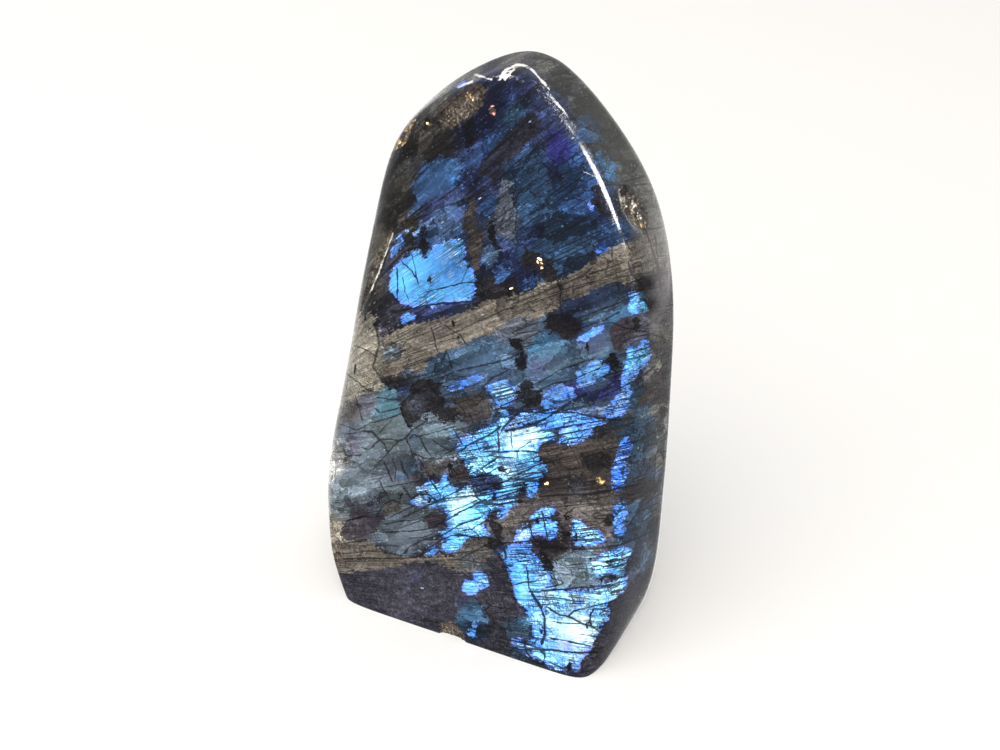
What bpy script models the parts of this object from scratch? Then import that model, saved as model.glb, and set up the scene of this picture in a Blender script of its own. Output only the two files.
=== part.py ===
"""A polished labradorite freeform: one solid stone, ground to soft-edged faces and sawn flat underneath.

Metres, +Z up. The origin lies on the sawn base, under the middle of the stone. -Y is the broad polished
face that shows the blue flash, and +X is on its right.
"""

import math
import random

import bmesh
import bpy
import numpy as np
from mathutils import Matrix, Vector, noise

MM = 0.001

# The stone is ground around its heart, which stands this high over the sawn base.
HEART_HEIGHT = 46 * MM

# Each ground face: its name, the azimuth and elevation of its outward direction in degrees, and its
# distance from the heart. Azimuth 0 is the front (-Y), 90 the right (+X) and 180 the back.
FACES = (
    ("front", 0, 5, 15.2 * MM),
    ("front_left", -50, 7, 27.5 * MM),
    ("left", -88, 7, 30.8 * MM),
    ("right", 88, 2, 33 * MM),
    ("front_right", 50, 2, 34 * MM),
    ("back", 180, 9, 15 * MM),
    ("back_left", -135, 8, 27 * MM),
    ("back_right", 135, 6, 29 * MM),
    ("crown", 20, 84, 78 * MM),
    ("shoulder_right", 85, 22, 41.5 * MM),
    ("brow_right", 88, 38, 51.5 * MM),
    ("temple_right", 85, 54, 61.5 * MM),
    ("brow_left", -85, 58, 61.5 * MM),
    ("shoulder_left", -85, 36, 49.5 * MM),
    ("heel_right", 88, -20, 46.5 * MM),
    ("heel_left", -80, -26, 43.2 * MM),
)
EDGE_SHARPNESS = 18  # the power that blends the faces: a higher one leaves crisper edges

# Slow unevenness that grinding by hand leaves in the faces.
WAVE_HEIGHT = 0.25 * MM
WAVE_LENGTH = 26 * MM

# The rough block, open underneath, with the number of cells along its x, y and z sides.
BLOCK_SIZE = Vector((68 * MM, 44 * MM, 118 * MM))
BLOCK_CELLS = (24, 15, 42)
# The block's surface is pulled straight towards its spine, an upright line that ends at this height.
SPINE_TOP = 86 * MM
PULL_STEPS = 36

BASE_EDGE_WIDTH = 0.7 * MM
BASE_EDGE_SEGMENTS = 2

# Each chip: its name, the azimuth and elevation of its place as seen from the heart, its length, width and
# depth, and how far its long side leans clockwise from upright, as seen from outside.
CHIPS = (
    ("shoulder_pocket", 79, 64, 9 * MM, 5 * MM, 1.1 * MM, -27),
    ("left_fissure", -63, 47, 19 * MM, 1.6 * MM, 1.0 * MM, 16),
    ("brow_scar", -38, 79, 10 * MM, 3.4 * MM, 0.6 * MM, 40),
    ("temple_nick", -66, 69, 4.2 * MM, 2.4 * MM, 0.6 * MM, 35),
    ("heel_pits", -56, -47, 12 * MM, 3.2 * MM, 0.7 * MM, -10),
    ("base_nick", 5, -67, 5.2 * MM, 4.6 * MM, 1.0 * MM, 90),
)
CHIP_SUBDIVISIONS = 3
CHIP_ROUGHNESS = 0.16  # how far a chip's surface strays, as a share of its size
CHIP_SEED = 11

STONE_COLOUR = (0.075, 0.135, 0.22, 1)
STONE_ROUGHNESS = 0.14
STONE_METALLIC = 0.0


def outward(azimuth, elevation):
    """The unit direction at this azimuth and elevation, in degrees."""
    turn, rise = math.radians(azimuth), math.radians(elevation)
    return Vector((math.sin(turn) * math.cos(rise), -math.cos(turn) * math.cos(rise), math.sin(rise)))


HEART = np.array((0, 0, HEART_HEIGHT))
FACE_NORMALS = np.array([outward(azimuth, elevation) for _, azimuth, elevation, _ in FACES])
FACE_DISTANCES = np.array([distance for *_, distance in FACES])


def gauge(points):
    """How far out each point lies: under 1 inside the stone, 1 on its surface."""
    reach = np.clip((points - HEART) @ FACE_NORMALS.T / FACE_DISTANCES, 0, None)
    return (reach**EDGE_SHARPNESS).sum(axis=1) ** (1 / EDGE_SHARPNESS)


def pulled_onto_stone(points):
    """Each point moved straight to or from the spine until it lies on the stone's surface."""
    spine = np.zeros_like(points)
    spine[:, 2] = np.minimum(points[:, 2], SPINE_TOP)
    ray = points - spine
    inside = np.zeros(len(points))
    outside = np.full(len(points), 4.0)
    for _ in range(PULL_STEPS):
        middle = (inside + outside) / 2
        within = gauge(spine + ray * middle[:, None]) < 1
        inside = np.where(within, middle, inside)
        outside = np.where(within, outside, middle)
    waves = [noise.noise(Vector(point) / WAVE_LENGTH) for point in spine + ray * inside[:, None]]
    length = np.linalg.norm(ray, axis=1)
    reach = inside + WAVE_HEIGHT * np.array(waves) / length
    return spine + ray * reach[:, None]


def slice_block(bm, axis, cells):
    """Cuts the block across one axis into this many equal cells."""
    normal = Vector((0, 0, 0))
    normal[axis] = 1
    for step in range(1, cells):
        place = Vector((0, 0, 0))
        place[axis] = BLOCK_SIZE[axis] * (step / cells - 0.5)
        everything = bm.verts[:] + bm.edges[:] + bm.faces[:]
        bmesh.ops.bisect_plane(bm, geom=everything, plane_co=place, plane_no=normal)


def block_grid():
    """The block's surface as a grid, standing on z = 0 and open underneath."""
    bm = bmesh.new()
    bmesh.ops.create_cube(bm, size=1, matrix=Matrix.Diagonal((*BLOCK_SIZE, 1)))
    for axis, cells in enumerate(BLOCK_CELLS):
        slice_block(bm, axis, cells)
    underside = [face for face in bm.faces if face.normal.z < -0.5]
    bmesh.ops.delete(bm, geom=underside, context="FACES")
    bmesh.ops.translate(bm, verts=bm.verts, vec=(0, 0, BLOCK_SIZE.z / 2))
    return bm


def close_base(bm):
    """Fills the open underside with the flat sawn face and takes the sharpness off its edge."""
    rim = [edge for edge in bm.edges if edge.is_boundary]
    bmesh.ops.holes_fill(bm, edges=rim, sides=0)
    bmesh.ops.recalc_face_normals(bm, faces=bm.faces)
    bmesh.ops.bevel(
        bm,
        geom=rim,
        offset=BASE_EDGE_WIDTH,
        segments=BASE_EDGE_SEGMENTS,
        profile=0.5,
        affect="EDGES",
    )


def centre_over_origin(bm):
    """Moves the stone so that the origin lies under the middle of its box, and returns the move."""
    places = np.array([vert.co for vert in bm.verts])
    middle = (places.min(axis=0) + places.max(axis=0)) / 2
    shift = Vector((-middle[0], -middle[1], 0))
    bmesh.ops.translate(bm, verts=bm.verts, vec=shift)
    return shift


def seat_on_surface(azimuth, elevation):
    """The surface point in this direction from the heart, and the outward normal there."""
    step = 0.1 * MM
    ray = np.array([outward(azimuth, elevation)]) * BLOCK_SIZE.z
    seat = HEART + ray[0] / gauge(HEART + ray)[0]
    ahead = gauge(seat + np.eye(3) * step)
    behind = gauge(seat - np.eye(3) * step)
    return Vector(seat), Vector(ahead - behind).normalized()


def chip_frame(seat, normal, lean):
    """The matrix that lays a chip on its seat: z outward, and x along the chip at its lean."""
    level = Vector((0, 0, 1)).cross(normal).normalized()
    rising = normal.cross(level)
    along = rising * math.cos(math.radians(lean)) + level * math.sin(math.radians(lean))
    across = normal.cross(along)
    axes = Matrix((along, across, normal)).transposed().to_4x4()
    return Matrix.Translation(seat) @ axes


def make_chip_cutter(chip, shift, scatter):
    """A rough lens of rock at the chip's place, which the stone loses."""
    name, azimuth, elevation, length, width, depth, lean = chip
    bm = bmesh.new()
    bmesh.ops.create_icosphere(bm, subdivisions=CHIP_SUBDIVISIONS, radius=1)
    for vert in bm.verts:
        vert.co *= 1 + scatter.uniform(-CHIP_ROUGHNESS, CHIP_ROUGHNESS)
    bmesh.ops.scale(bm, vec=(length / 2, width / 2, depth), verts=bm.verts)
    seat, normal = seat_on_surface(azimuth, elevation)
    bmesh.ops.transform(bm, matrix=chip_frame(seat + shift, normal, lean), verts=bm.verts)
    mesh = bpy.data.meshes.new(name)
    bm.to_mesh(mesh)
    bm.free()
    cutter = bpy.data.objects.new(name, mesh)
    cutter.hide_render = True
    cutter.display_type = "WIRE"
    return cutter


def stone_material():
    """Polished labradorite in its average colour."""
    material = bpy.data.materials.new("labradorite")
    material.use_nodes = True
    shader = material.node_tree.nodes["Principled BSDF"]
    shader.inputs["Base Color"].default_value = STONE_COLOUR
    shader.inputs["Roughness"].default_value = STONE_ROUGHNESS
    shader.inputs["Metallic"].default_value = STONE_METALLIC
    return material


def make_stone():
    """The whole stone before it is chipped, and how far it was moved to stand over the origin."""
    bm = block_grid()
    places = pulled_onto_stone(np.array([vert.co for vert in bm.verts]))
    for vert, place in zip(bm.verts, places):
        vert.co = place
    close_base(bm)
    shift = centre_over_origin(bm)
    mesh = bpy.data.meshes.new("stone")
    bm.to_mesh(mesh)
    bm.free()
    mesh.shade_smooth()
    mesh.set_sharp_from_angle(angle=math.radians(35))
    mesh.materials.append(stone_material())
    return bpy.data.objects.new("stone", mesh), shift


def new_collection(name):
    collection = bpy.data.collections.new(name)
    bpy.context.scene.collection.children.link(collection)
    return collection


def clear_scene():
    for obj in list(bpy.data.objects):
        bpy.data.objects.remove(obj, do_unlink=True)


def main():
    clear_scene()
    parts = new_collection("labradorite_freeform")
    cutters = new_collection("cutters")
    stone, shift = make_stone()
    parts.objects.link(stone)
    scatter = random.Random(CHIP_SEED)
    for chip in CHIPS:
        cutter = make_chip_cutter(chip, shift, scatter)
        cutters.objects.link(cutter)
        cut = stone.modifiers.new(cutter.name, "BOOLEAN")
        cut.operation = "DIFFERENCE"
        cut.solver = "EXACT"
        cut.object = cutter


main()
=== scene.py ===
"""The looks of the polished labradorite freeform: its fine surface, its stone and a plain studio."""

import math

import bmesh
import bpy
import numpy as np
from mathutils import Matrix, Vector, noise


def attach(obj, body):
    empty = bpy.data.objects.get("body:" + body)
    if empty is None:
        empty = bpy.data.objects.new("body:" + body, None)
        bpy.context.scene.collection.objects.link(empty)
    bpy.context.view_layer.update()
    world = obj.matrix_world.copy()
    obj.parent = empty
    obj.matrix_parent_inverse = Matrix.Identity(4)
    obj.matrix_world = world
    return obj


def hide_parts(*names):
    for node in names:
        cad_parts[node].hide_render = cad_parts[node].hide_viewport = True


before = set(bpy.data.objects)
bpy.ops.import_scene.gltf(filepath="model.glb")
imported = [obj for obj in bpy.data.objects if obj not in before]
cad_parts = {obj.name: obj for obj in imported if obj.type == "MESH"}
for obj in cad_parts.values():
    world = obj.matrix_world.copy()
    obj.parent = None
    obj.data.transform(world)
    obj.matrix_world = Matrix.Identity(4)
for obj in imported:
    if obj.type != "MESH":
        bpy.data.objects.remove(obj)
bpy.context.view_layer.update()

MM = 0.001

# The stone's ground faces, as the solid has them: name, azimuth and elevation of the outward direction in
# degrees, and distance in mm from the heart. Azimuth 0 is the front (-Y), 90 the right and 180 the back.
HEART_HEIGHT = 46
FACES = (
    ("front", 0, 5, 15.2),
    ("front_left", -50, 7, 27.5),
    ("left", -88, 7, 30.8),
    ("right", 88, 2, 33),
    ("front_right", 50, 2, 34),
    ("back", 180, 9, 15),
    ("back_left", -135, 8, 27),
    ("back_right", 135, 6, 29),
    ("crown", 20, 84, 78),
    ("shoulder_right", 85, 22, 41.5),
    ("brow_right", 88, 38, 51.5),
    ("temple_right", 85, 54, 61.5),
    ("brow_left", -85, 58, 61.5),
    ("shoulder_left", -85, 36, 49.5),
    ("heel_right", 88, -20, 46.5),
    ("heel_left", -80, -26, 43.2),
)
EDGE_SHARPNESS = 18
WAVE_HEIGHT = 0.25
WAVE_LENGTH = 26

# The block whose fine grid is pulled onto the stone, in mm and in cells, and the height in mm of the spine
# that it is pulled to.
BLOCK_SIZE = (68, 44, 118)
BLOCK_CELLS = (88, 55, 152)
SPINE_TOP = 86
PULL_STEPS = 34
PULL_REACH = 4.0
NORMAL_STEP = 0.05

# Chips: name, azimuth and elevation from the heart, length, width and depth in mm, and the lean of the
# long side clockwise from upright.
CHIPS = (
    ("shoulder_pocket", 79, 64, 9, 5, 1.1, -27),
    ("left_fissure", -63, 47, 19, 1.6, 1.0, 16),
    ("brow_scar", -38, 79, 10, 3.4, 0.6, 40),
    ("temple_nick", -66, 69, 4.2, 2.4, 0.6, 35),
    ("heel_pits", -56, -47, 12, 3.2, 0.7, -10),
    ("base_nick", 5, -67, 5.2, 4.6, 1.0, 90),
)
# Unevenness of the chips' edges and bottoms: strength, size in mm, and an offset that sets each one apart.
# Places further from a chip's middle, in its half sizes, or further off its plane, in mm, aren't in it.
CHIP_EDGE = ((0.22, 1.3, 3), (0.12, 0.6, 5))
CHIP_BOTTOM = ((0.45, 0.9, 8), (0.3, 0.45, 9))
CHIP_REACH = 1.6
CHIP_SEAT_HEIGHT = 3
CHIP_ROUGHNESS = (0.2, 2)
CHIP_RIM, CHIP_RIM_WIDTH = 1.08, 0.16

# The camera, in degrees and mm, and the photograph's frame in pixels.
FRAME_WIDTH, FRAME_HEIGHT = 1000, 750
CAMERA_AZIMUTH, CAMERA_ELEVATION, CAMERA_ROLL = 20, 33, 5
CAMERA_TARGET = Vector((0, 0, 50.5))
CAMERA_DISTANCE = 345
LENS, SENSOR = 65, 36
MM_PER_PIXEL = 0.19

# The layers' tones blend over TONE_BLEND mm, and edges further than EDGE_LIMIT mm away don't count.
TONE_BLEND = 0.5
EDGE_LIMIT = 2.4
# How close to a spot's middle the ground takes its tone alone, and how steeply the tone fades further out.
GROUND_HOLD = 0.02
GROUND_FADE = 2.4
# Cracks are shared out over this many channels. Their gaps are measured between places some pixels apart.
CRACK_CHANNELS = 4
CRACK_STEP = 4
# Where the surface turns away from the camera, the photo's pattern fades into that of the back: the cosine
# at which it is gone, and how much further on it is whole.
TURN_START, TURN_WIDTH = -0.12, 0.22
# The corners where the back passes into the sides, in mm.
CORNER_X = 18
CORNER_Y = 15

# How steeply the layers rise to the right, in degrees, where they cross these heights in mm, and how far
# they dip towards the front.
LAMELLA_HEIGHTS = (-42, -12, -2, 10, 28, 46, 60, 78, 118)
LAMELLA_SLOPES = (8, 8, 12, 22, 30, 32, 35, 47, 52)
LAMELLA_DIP = -0.46
LAMELLA_STEPS = 24

# What multiplies the coordinates of each pattern, along, across and through the layers, and for the flecks
# along x, y and z. The smaller the number, the longer the pattern is that way. Scales are in cells per mm.
STREAK_SHAPE = (0.07, 1.0, 0.12)
TICK_SHAPE = (1.0, 0.16, 0.4)
SHARD_SHAPE = (0.5, 1.0, 0.5)
PLATE_SHAPE = (0.6, 1.0, 0.6)
SPECK_SHAPE = (0.45, 1.0, 0.8)
FLECK_SHAPE = (1.0, 1.0, 0.5)
SHARD_SCALE = 0.42
PLATE_SCALE = 0.2
SPECK_SCALE = 0.75
FLECK_SCALE = 0.30
# Steps in mm that tell how fast the noise of lines along the layers and of lines across them changes.
ALONG = (0.0, 0.05, 0.0)
ACROSS = (0.05, 0.0, 0.0)

# How strongly each kind of unevenness frays the patches, and how much that does to each layer.
RAGGED = {"shard": 0.7, "mottle": 3.4, "blotch": 1.6, "fine": 0.8}
RAGGEDNESS = {"panel": 1.2, "flash": 0.7, "matrix": 1.0, "dark": 1.2, "gold": 0.3}
# How strongly each kind varies the brightness of the ground, the flash, the rock, the crystals, the gold
# and the rubble in the chips.
BODY_LIGHT = {
    "broad": 1.2, "fine": 1.0, "grain": 1.6, "blotch": 1.7, "shard": 1.3, "plate": 1.4, "mottle": 1.6,
}
FLASH_LIGHT = {"fine": 1.2, "grain": 0.9, "blotch": 1.6, "shard": 0.6, "plate": 0.5}
ROCK_LIGHT = {"broad": 2.2, "fine": 1.5, "grain": 1.8, "blotch": 1.4, "shard": 0.3, "plate": 0.4}
DARK_LIGHT = {"grain": 2.6, "mottle": 2.5, "blotch": 2.6, "plate": 0.5}
GOLD_LIGHT = {"grain": 7.0, "blotch": 6.0}
RUBBLE_LIGHT = {"grain": 7.0, "mottle": 3.0}
TINT = 0.28
FLASH_GAIN = 2.0
STONE_SPECULAR = 0.05
GLOSS_WEIGHT = 0.9
GLOSS_ROUGHNESS = 0.03
GLOSS_IOR = 1.38
BUMP_STRENGTH = 0.25
BUMP_HEIGHT = 0.12 * MM

# The studio. Lengths are in m, directions are azimuths and elevations in degrees.
FLOOR_SIZE = 6
FLOOR_TONE = (0.78, 0.76, 0.73, 1)
FLOOR_ROUGHNESS = 0.9
FLOOR_GLOW_TONE = (1.0, 0.97, 0.93, 1)
FLOOR_GLOW = 0.2
WORLD_LIGHT = 1.35
FRONT_TONE = (0.28, 0.28, 0.29)
BACK_TONE = (0.6, 0.6, 0.59)
BELOW_TONE = (0.16, 0.16, 0.17)
# Where the world passes from its front to its back tone, as the direction's y, and from the tone below to
# that above, as its z.
SKY_TURN = (-0.3, 0.7)
HORIZON = (0.0, 0.12)
# Bright parts of the backdrop: the azimuth and elevation of the middle, the cosines where it begins and is
# full, the sines of the elevations where it begins and is full, and its tone.
BACKDROPS = (
    ((165, -18), (0.86, 0.94), (-0.42, -0.34), (1.1, 1.09, 1.06)),
    ((222, -41), (0.95, 0.99), (-1.1, -1.0), (0.66, 0.65, 0.63)),
    ((200, -30), (0.93, 0.985), (-1.1, -1.0), (1.25, 1.24, 1.21)),
)
FILL_DIRECTION = (-15, 52)
FILL_DISTANCE = 1.6
FILL_SIZE = 1.6
FILL_ENERGY = 27
# Softboxes seen in the gloss: name, the directions of both ends from high in the stone, and width.
STRIPS = (
    ("shoulder_strip", (36, 25), (70, 17), 0.24),
    ("ridge_strip", (66, 58), (100, 45), 0.11),
    ("peak_light", (-88, 50), (-68, 56), 0.14),
)
STRIP_TARGET = 90 * MM
STRIP_RADIANCE = 60
LIGHT_DISTANCE = 0.6
CLIP_START = 0.01

# Tones by name, as red, green and blue from 0 to 255.
TONES = {
    "navy": (22, 31, 64),
    "deep_navy": (16, 20, 44),
    "indigo": (42, 42, 112),
    "dark_indigo": (30, 30, 84),
    "denim": (42, 71, 116),
    "mid_blue": (49, 80, 120),
    "cobalt": (58, 112, 214),
    "vivid": (56, 118, 240),
    "azure": (88, 158, 240),
    "sky": (104, 196, 252),
    "ice": (168, 226, 255),
    "white_ice": (214, 242, 250),
    "periwinkle": (104, 132, 218),
    "lavender": (140, 150, 214),
    "lagoon": (72, 138, 176),
    "deep_teal": (38, 62, 90),
    "teal": (52, 84, 110),
    "night_teal": (44, 62, 80),
    "steel": (70, 94, 120),
    "dusk_blue": (52, 63, 102),
    "slate": (104, 116, 125),
    "blue_slate": (108, 120, 132),
    "pale_slate": (122, 128, 128),
    "teal_mist": (76, 110, 126),
    "moss": (84, 98, 108),
    "moss_light": (104, 122, 130),
    "olive": (74, 71, 62),
    "dark_olive": (44, 42, 38),
    "beige": (150, 144, 130),
    "taupe": (122, 114, 103),
    "taupe_brown": (106, 100, 96),
    "umber": (68, 61, 57),
    "brown": (72, 61, 53),
    "ash": (88, 95, 108),
    "dusk": (34, 33, 42),
    "soot": (57, 57, 54),
    "smoke": (84, 82, 78),
    "coal": (33, 30, 32),
    "black": (14, 12, 16),
    "plum": (62, 61, 71),
    "dusk_plum": (61, 55, 63),
    "haze_blue": (104, 132, 174),
    "deep_denim": (32, 47, 80),
    "dark_brown": (50, 43, 40),
    "sage": (88, 100, 104),
    "grey_brown": (86, 84, 80),
    "gold": (160, 132, 88),
    "pale_gold": (240, 212, 158),
    "rose": (176, 122, 116),
    "frost": (238, 236, 232),
    "straw": (150, 138, 116),
    "pale_straw": (206, 198, 182),
    "cornflower": (84, 124, 184),
    "steel_azure": (80, 128, 170),
    "clear_blue": (76, 152, 202),
    "denim_light": (48, 92, 142),
    "wedge_blue": (46, 60, 92),
    "plum_brown": (58, 50, 56),
    "lake": (66, 112, 148),
    "pale_teal": (80, 118, 144),
    "mauve_grey": (74, 86, 114),
    "pale_steel": (110, 140, 162),
    "lagoon_dark": (50, 94, 130),
    "slate_violet": (98, 99, 112),
    "steel_grey": (66, 86, 106),
    "moss_grey": (82, 92, 92),
    "flank_grey": (104, 102, 96),
}

# Soft changes of the ground tone over the front, by region: tone, the place in photo pixels, and reach.
FRONT_GROUND = {
    "upper": (
        ("dark_olive", 430, 140, 16), ("navy", 478, 128, 14), ("dusk_blue", 545, 130, 10),
        ("denim", 492, 148, 12), ("navy", 440, 168, 10), ("deep_teal", 530, 192, 22),
        ("denim", 576, 196, 18), ("deep_teal", 560, 236, 22), ("dusk_blue", 492, 192, 14),
        ("ash", 505, 214, 12), ("dusk_blue", 450, 206, 12), ("dusk_blue", 444, 226, 14),
        ("deep_navy", 612, 206, 9), ("denim", 616, 232, 9), ("navy", 500, 262, 12),
        ("coal", 498, 288, 12), ("navy", 530, 282, 10), ("deep_navy", 472, 178, 10),
    ),
    "upper_left": (
        ("dark_olive", 392, 196, 16), ("olive", 376, 252, 14), ("dark_olive", 402, 222, 12),
        ("plum", 388, 268, 8),
    ),
    "band_left_end": (
        ("olive", 366, 296, 12), ("beige", 352, 352, 14), ("beige", 344, 384, 10),
        ("smoke", 350, 412, 10),
    ),
    "crown": (
        ("smoke", 440, 100, 7), ("smoke", 472, 72, 7), ("smoke", 512, 55, 9), ("smoke", 548, 60, 8),
        ("soot", 562, 76, 13), ("soot", 588, 100, 15), ("soot", 612, 136, 14), ("soot", 630, 172, 12),
        ("smoke", 648, 205, 10), ("navy", 498, 96, 22), ("deep_navy", 520, 92, 12),
        ("teal", 514, 112, 10), ("dusk_blue", 548, 108, 14),
    ),
    "left": (
        ("dusk_blue", 432, 312, 12), ("plum", 384, 314, 14), ("dusk", 392, 384, 8),
        ("sage", 368, 424, 12), ("slate", 372, 460, 18), ("slate", 352, 486, 18), ("ash", 392, 470, 12),
        ("ash", 372, 498, 10), ("slate", 440, 442, 14), ("plum_brown", 424, 474, 8),
        # The pale spot at 333, 464 on the left edge is a painted reflection of the white surroundings
        # along that edge.
        ("ash", 354, 430, 10), ("blue_slate", 404, 524, 20), ("frost", 333, 464, 10),
        ("beige", 334, 540, 12),
    ),
    "middle": (
        ("steel", 462, 366, 18), ("ash", 520, 338, 14), ("steel", 542, 348, 14), ("steel", 592, 346, 14),
        ("night_teal", 521, 356, 8), ("deep_navy", 572, 327, 10), ("steel", 560, 374, 14),
        ("steel", 606, 314, 16), ("dusk_blue", 586, 302, 10), ("steel", 496, 392, 16),
        ("steel", 560, 414, 16),
    ),
    "right_flank": (
        # Close to the right edge the pale greys are partly the flank's own tone and partly a painted
        # reflection along the edge; the plum low down is partly painted shade where the flank turns under.
        ("coal", 649, 285, 9), ("flank_grey", 663, 335, 8), ("flank_grey", 663, 372, 8),
        ("flank_grey", 662, 410, 8), ("slate", 659, 486, 8), ("slate", 655, 540, 8),
        ("pale_slate", 658, 437, 12), ("ash", 626, 334, 10), ("teal", 640, 398, 10),
        ("teal", 636, 440, 12), ("steel", 642, 474, 12), ("umber", 640, 492, 9), ("teal", 640, 526, 12),
        ("steel", 636, 556, 10), ("plum", 640, 604, 18), ("plum_brown", 656, 286, 13),
        ("plum_brown", 658, 310, 10), ("smoke", 660, 350, 10), ("umber", 652, 392, 10),
        ("taupe", 650, 258, 12), ("smoke", 658, 460, 7), ("smoke", 660, 520, 7),
    ),
    "heart": (
        ("navy", 520, 460, 24), ("ash", 474, 552, 14), ("umber", 580, 462, 22),
        ("taupe_brown", 580, 510, 18), ("taupe_brown", 508, 521, 9), ("taupe_brown", 526, 509, 8),
        ("taupe_brown", 543, 502, 8), ("coal", 552, 532, 12),
    ),
    "foot": (
        ("plum", 400, 600, 40), ("plum", 440, 592, 26), ("coal", 508, 590, 18), ("plum", 480, 645, 18),
        ("night_teal", 516, 636, 14), ("soot", 612, 646, 10), ("plum", 344, 594, 10),
    ),
}

# Patches of the front, each with its tone and its outline as x,y in photo pixels. Panels lie lowest.
FRONT_PANELS = {
    "upper_left_field": ("mid_blue", "412,187 421,172 433,161 450,157 460,164 461,176 457,185 431,200 "
        "421,212 415,216"),
    "upper_left_shade": ("deep_denim", "463,152 476,145 486,152 482,163 470,170 461,165"),
    "peak_violet": ("indigo", "545,140 552,131 562,131 570,140 577,152 571,162 558,166 548,158"),
    "peak_denim": ("denim", "566,150 572,141 583,152 593,168 594,180 580,183 571,176"),
    "shoulder_teal": ("deep_teal", "579,132 582,114 591,112 602,128 603,140 592,147 581,142"),
    "upper_middle_field": ("deep_teal", "516,170 535,160 548,165 556,180 556,200 545,214 528,222 "
        "517,224 515,200"),
    "upper_right_field": ("denim", "560,184 575,186 590,185 595,192 592,214 584,224 570,224 560,214 "
        "556,200"),
    "peak_shade": ("deep_navy", "540,160 556,162 562,176 558,190 548,188 542,174"),
    "upper_middle_low": ("deep_denim", "517,228 530,222 540,227 541,246 530,256 521,252"),
    "eye_brow": ("denim", "414,240 420,226 432,214 448,206 462,202 467,212 464,228 467,242 452,240 "
        "440,242 430,248"),
    "eye_haze": ("haze_blue", "413,234 424,220 440,209 460,205 464,216 464,232 461,240 433,247 428,236"),
    "eye_right": ("denim", "477,210 482,198 492,194 500,204 496,214 488,222 479,221"),
    "eye_right_low": ("steel", "484,250 492,244 498,252 496,264 488,268 481,262"),
    "under_band_left": ("steel", "426,364 455,350 480,342 508,332 513,345 507,360 509,378 492,388 "
        "462,394 450,394 442,384 430,379"),
    "under_band_wedge": ("wedge_blue", "564,316 570,306 584,300 600,288 618,286 619,298 604,306 578,316"),
    "band_end_light": ("lagoon", "637,293 644,291 645,302 643,312 637,315"),
    "wedge_edge": ("steel_grey", "578,318 606,304 618,300 616,306 590,318"),
    "mid_lake": ("lake", "526,350 530,342 544,334 558,331 559,337 550,345 528,356"),
    "mid_pale": ("pale_teal", "540,350 552,342 562,339 568,346 566,352 538,360"),
    "mid_mauve": ("mauve_grey", "530,362 545,356 560,356 562,362 534,380 528,370"),
    "mid_light": ("pale_steel", "548,368 560,361 572,357 573,364 560,372 549,376"),
    "mid_right_mauve": ("mauve_grey", "580,346 596,338 608,336 612,343 606,350 592,357 580,353"),
    "mid_right_light": ("pale_steel", "573,358 579,352 590,357 600,352 610,350 606,358 578,366"),
    "wedge_lake": ("lake", "606,318 620,308 630,305 636,314 622,325 608,325"),
    "slate_teal": ("teal_mist", "381,387 392,385 396,390 402,408 398,414 386,419 376,420 374,410"),
    "slate_violet_top": ("slate_violet", "357,399 366,392 376,396 377,406 370,414 361,414"),
    "slate_sage": ("sage", "380,424 400,418 411,430 404,438 398,441 380,436"),
    "slate_moss": ("moss_grey", "380,440 398,441 388,452 382,447"),
    "slate_violet_left": ("slate_violet", "347,436 356,434 361,440 360,452 352,456 345,450"),
    "slate_blue": ("blue_slate", "361,434 366,432 379,440 374,446 366,449 361,444"),
    "slate_low": ("slate", "350,476 362,472 374,476 380,486 374,496 360,500 350,492"),
    "slate_sage_low": ("sage", "384,482 398,484 406,490 410,500 400,503 390,498"),
    "slate_shade": ("steel_grey", "402,463 412,458 420,463 421,473 408,475 404,472"),
    "slate_tip": ("steel_grey", "410,504 418,496 428,495 425,502 416,505"),
    "slate_shade_low": ("steel", "394,474 404,473 408,476 402,479 395,479"),
    "foot_band_light": ("pale_steel", "391,552 396,549 404,550 404,553 398,556 393,555"),
    "gap_dusk": ("dusk_blue", "398,385 410,384 411,394 404,398 397,394"),
    "pebble": ("moss", "408,436 412,429 423,422 438,421 450,424 460,436 460,445 450,456 438,458 414,451"),
    "pebble_glow": ("moss_light", "420,440 425,439 430,446 433,457 420,448"),
    "pebble_rim": ("steel_azure", "445,432 454,428 458,436 456,444 448,446"),
    "pebble_shade": ("steel", "409,436 414,430 419,434 420,444 414,449"),
    "slate_fan": ("blue_slate", "369,541 374,530 386,520 402,513 424,512 440,514 441,526 421,546 "
        "410,556 398,556 384,552"),
    "foot_teal": ("teal", "457,614 464,604 475,600 483,607 488,618 490,632 485,640 470,641 460,633 "
        "456,623"),
    "foot_steel": ("steel_grey", "501,624 515,618 528,620 533,632 528,642 534,652 528,657 512,650 "
        "505,638"),
    "flank_teal": ("teal", "628,428 640,420 654,416 656,440 650,455 634,460 627,448"),
    "flank_teal_low": ("teal", "627,506 640,498 652,500 648,520 640,535 629,540 625,525"),
    "shoulder_blue": ("mid_blue", "609,232 613,225 622,222 627,232 622,242 613,240"),
    "shoulder_cobalt": ("cobalt", "596,250 603,241 609,242 606,250 599,256"),
    "ring_moss": ("moss", "551,570 553,560 565,553 577,550 590,552 596,558 592,568 603,584 596,589 "
        "562,590 553,585"),
    "shoulder_lagoon": ("lagoon_dark", "595,152 607,154 617,170 616,181 604,174"),
    "eye_dusk": ("dusk_blue", "497,236 506,238 505,250 497,249"),
    "upper_low_left": ("denim", "494,268 500,261 508,264 509,274 504,283 496,279"),
    "upper_low_right": ("denim", "526,276 538,272 548,278 540,288 526,294 520,288"),
    "band_left_slate": ("blue_slate", "383,352 390,345 400,346 402,354 396,361 386,361"),
    "mid_violet": ("indigo", "564,384 572,382 580,388 592,392 604,388 614,372 624,371 626,382 618,393 "
        "604,401 592,405 570,394"),
}
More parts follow.
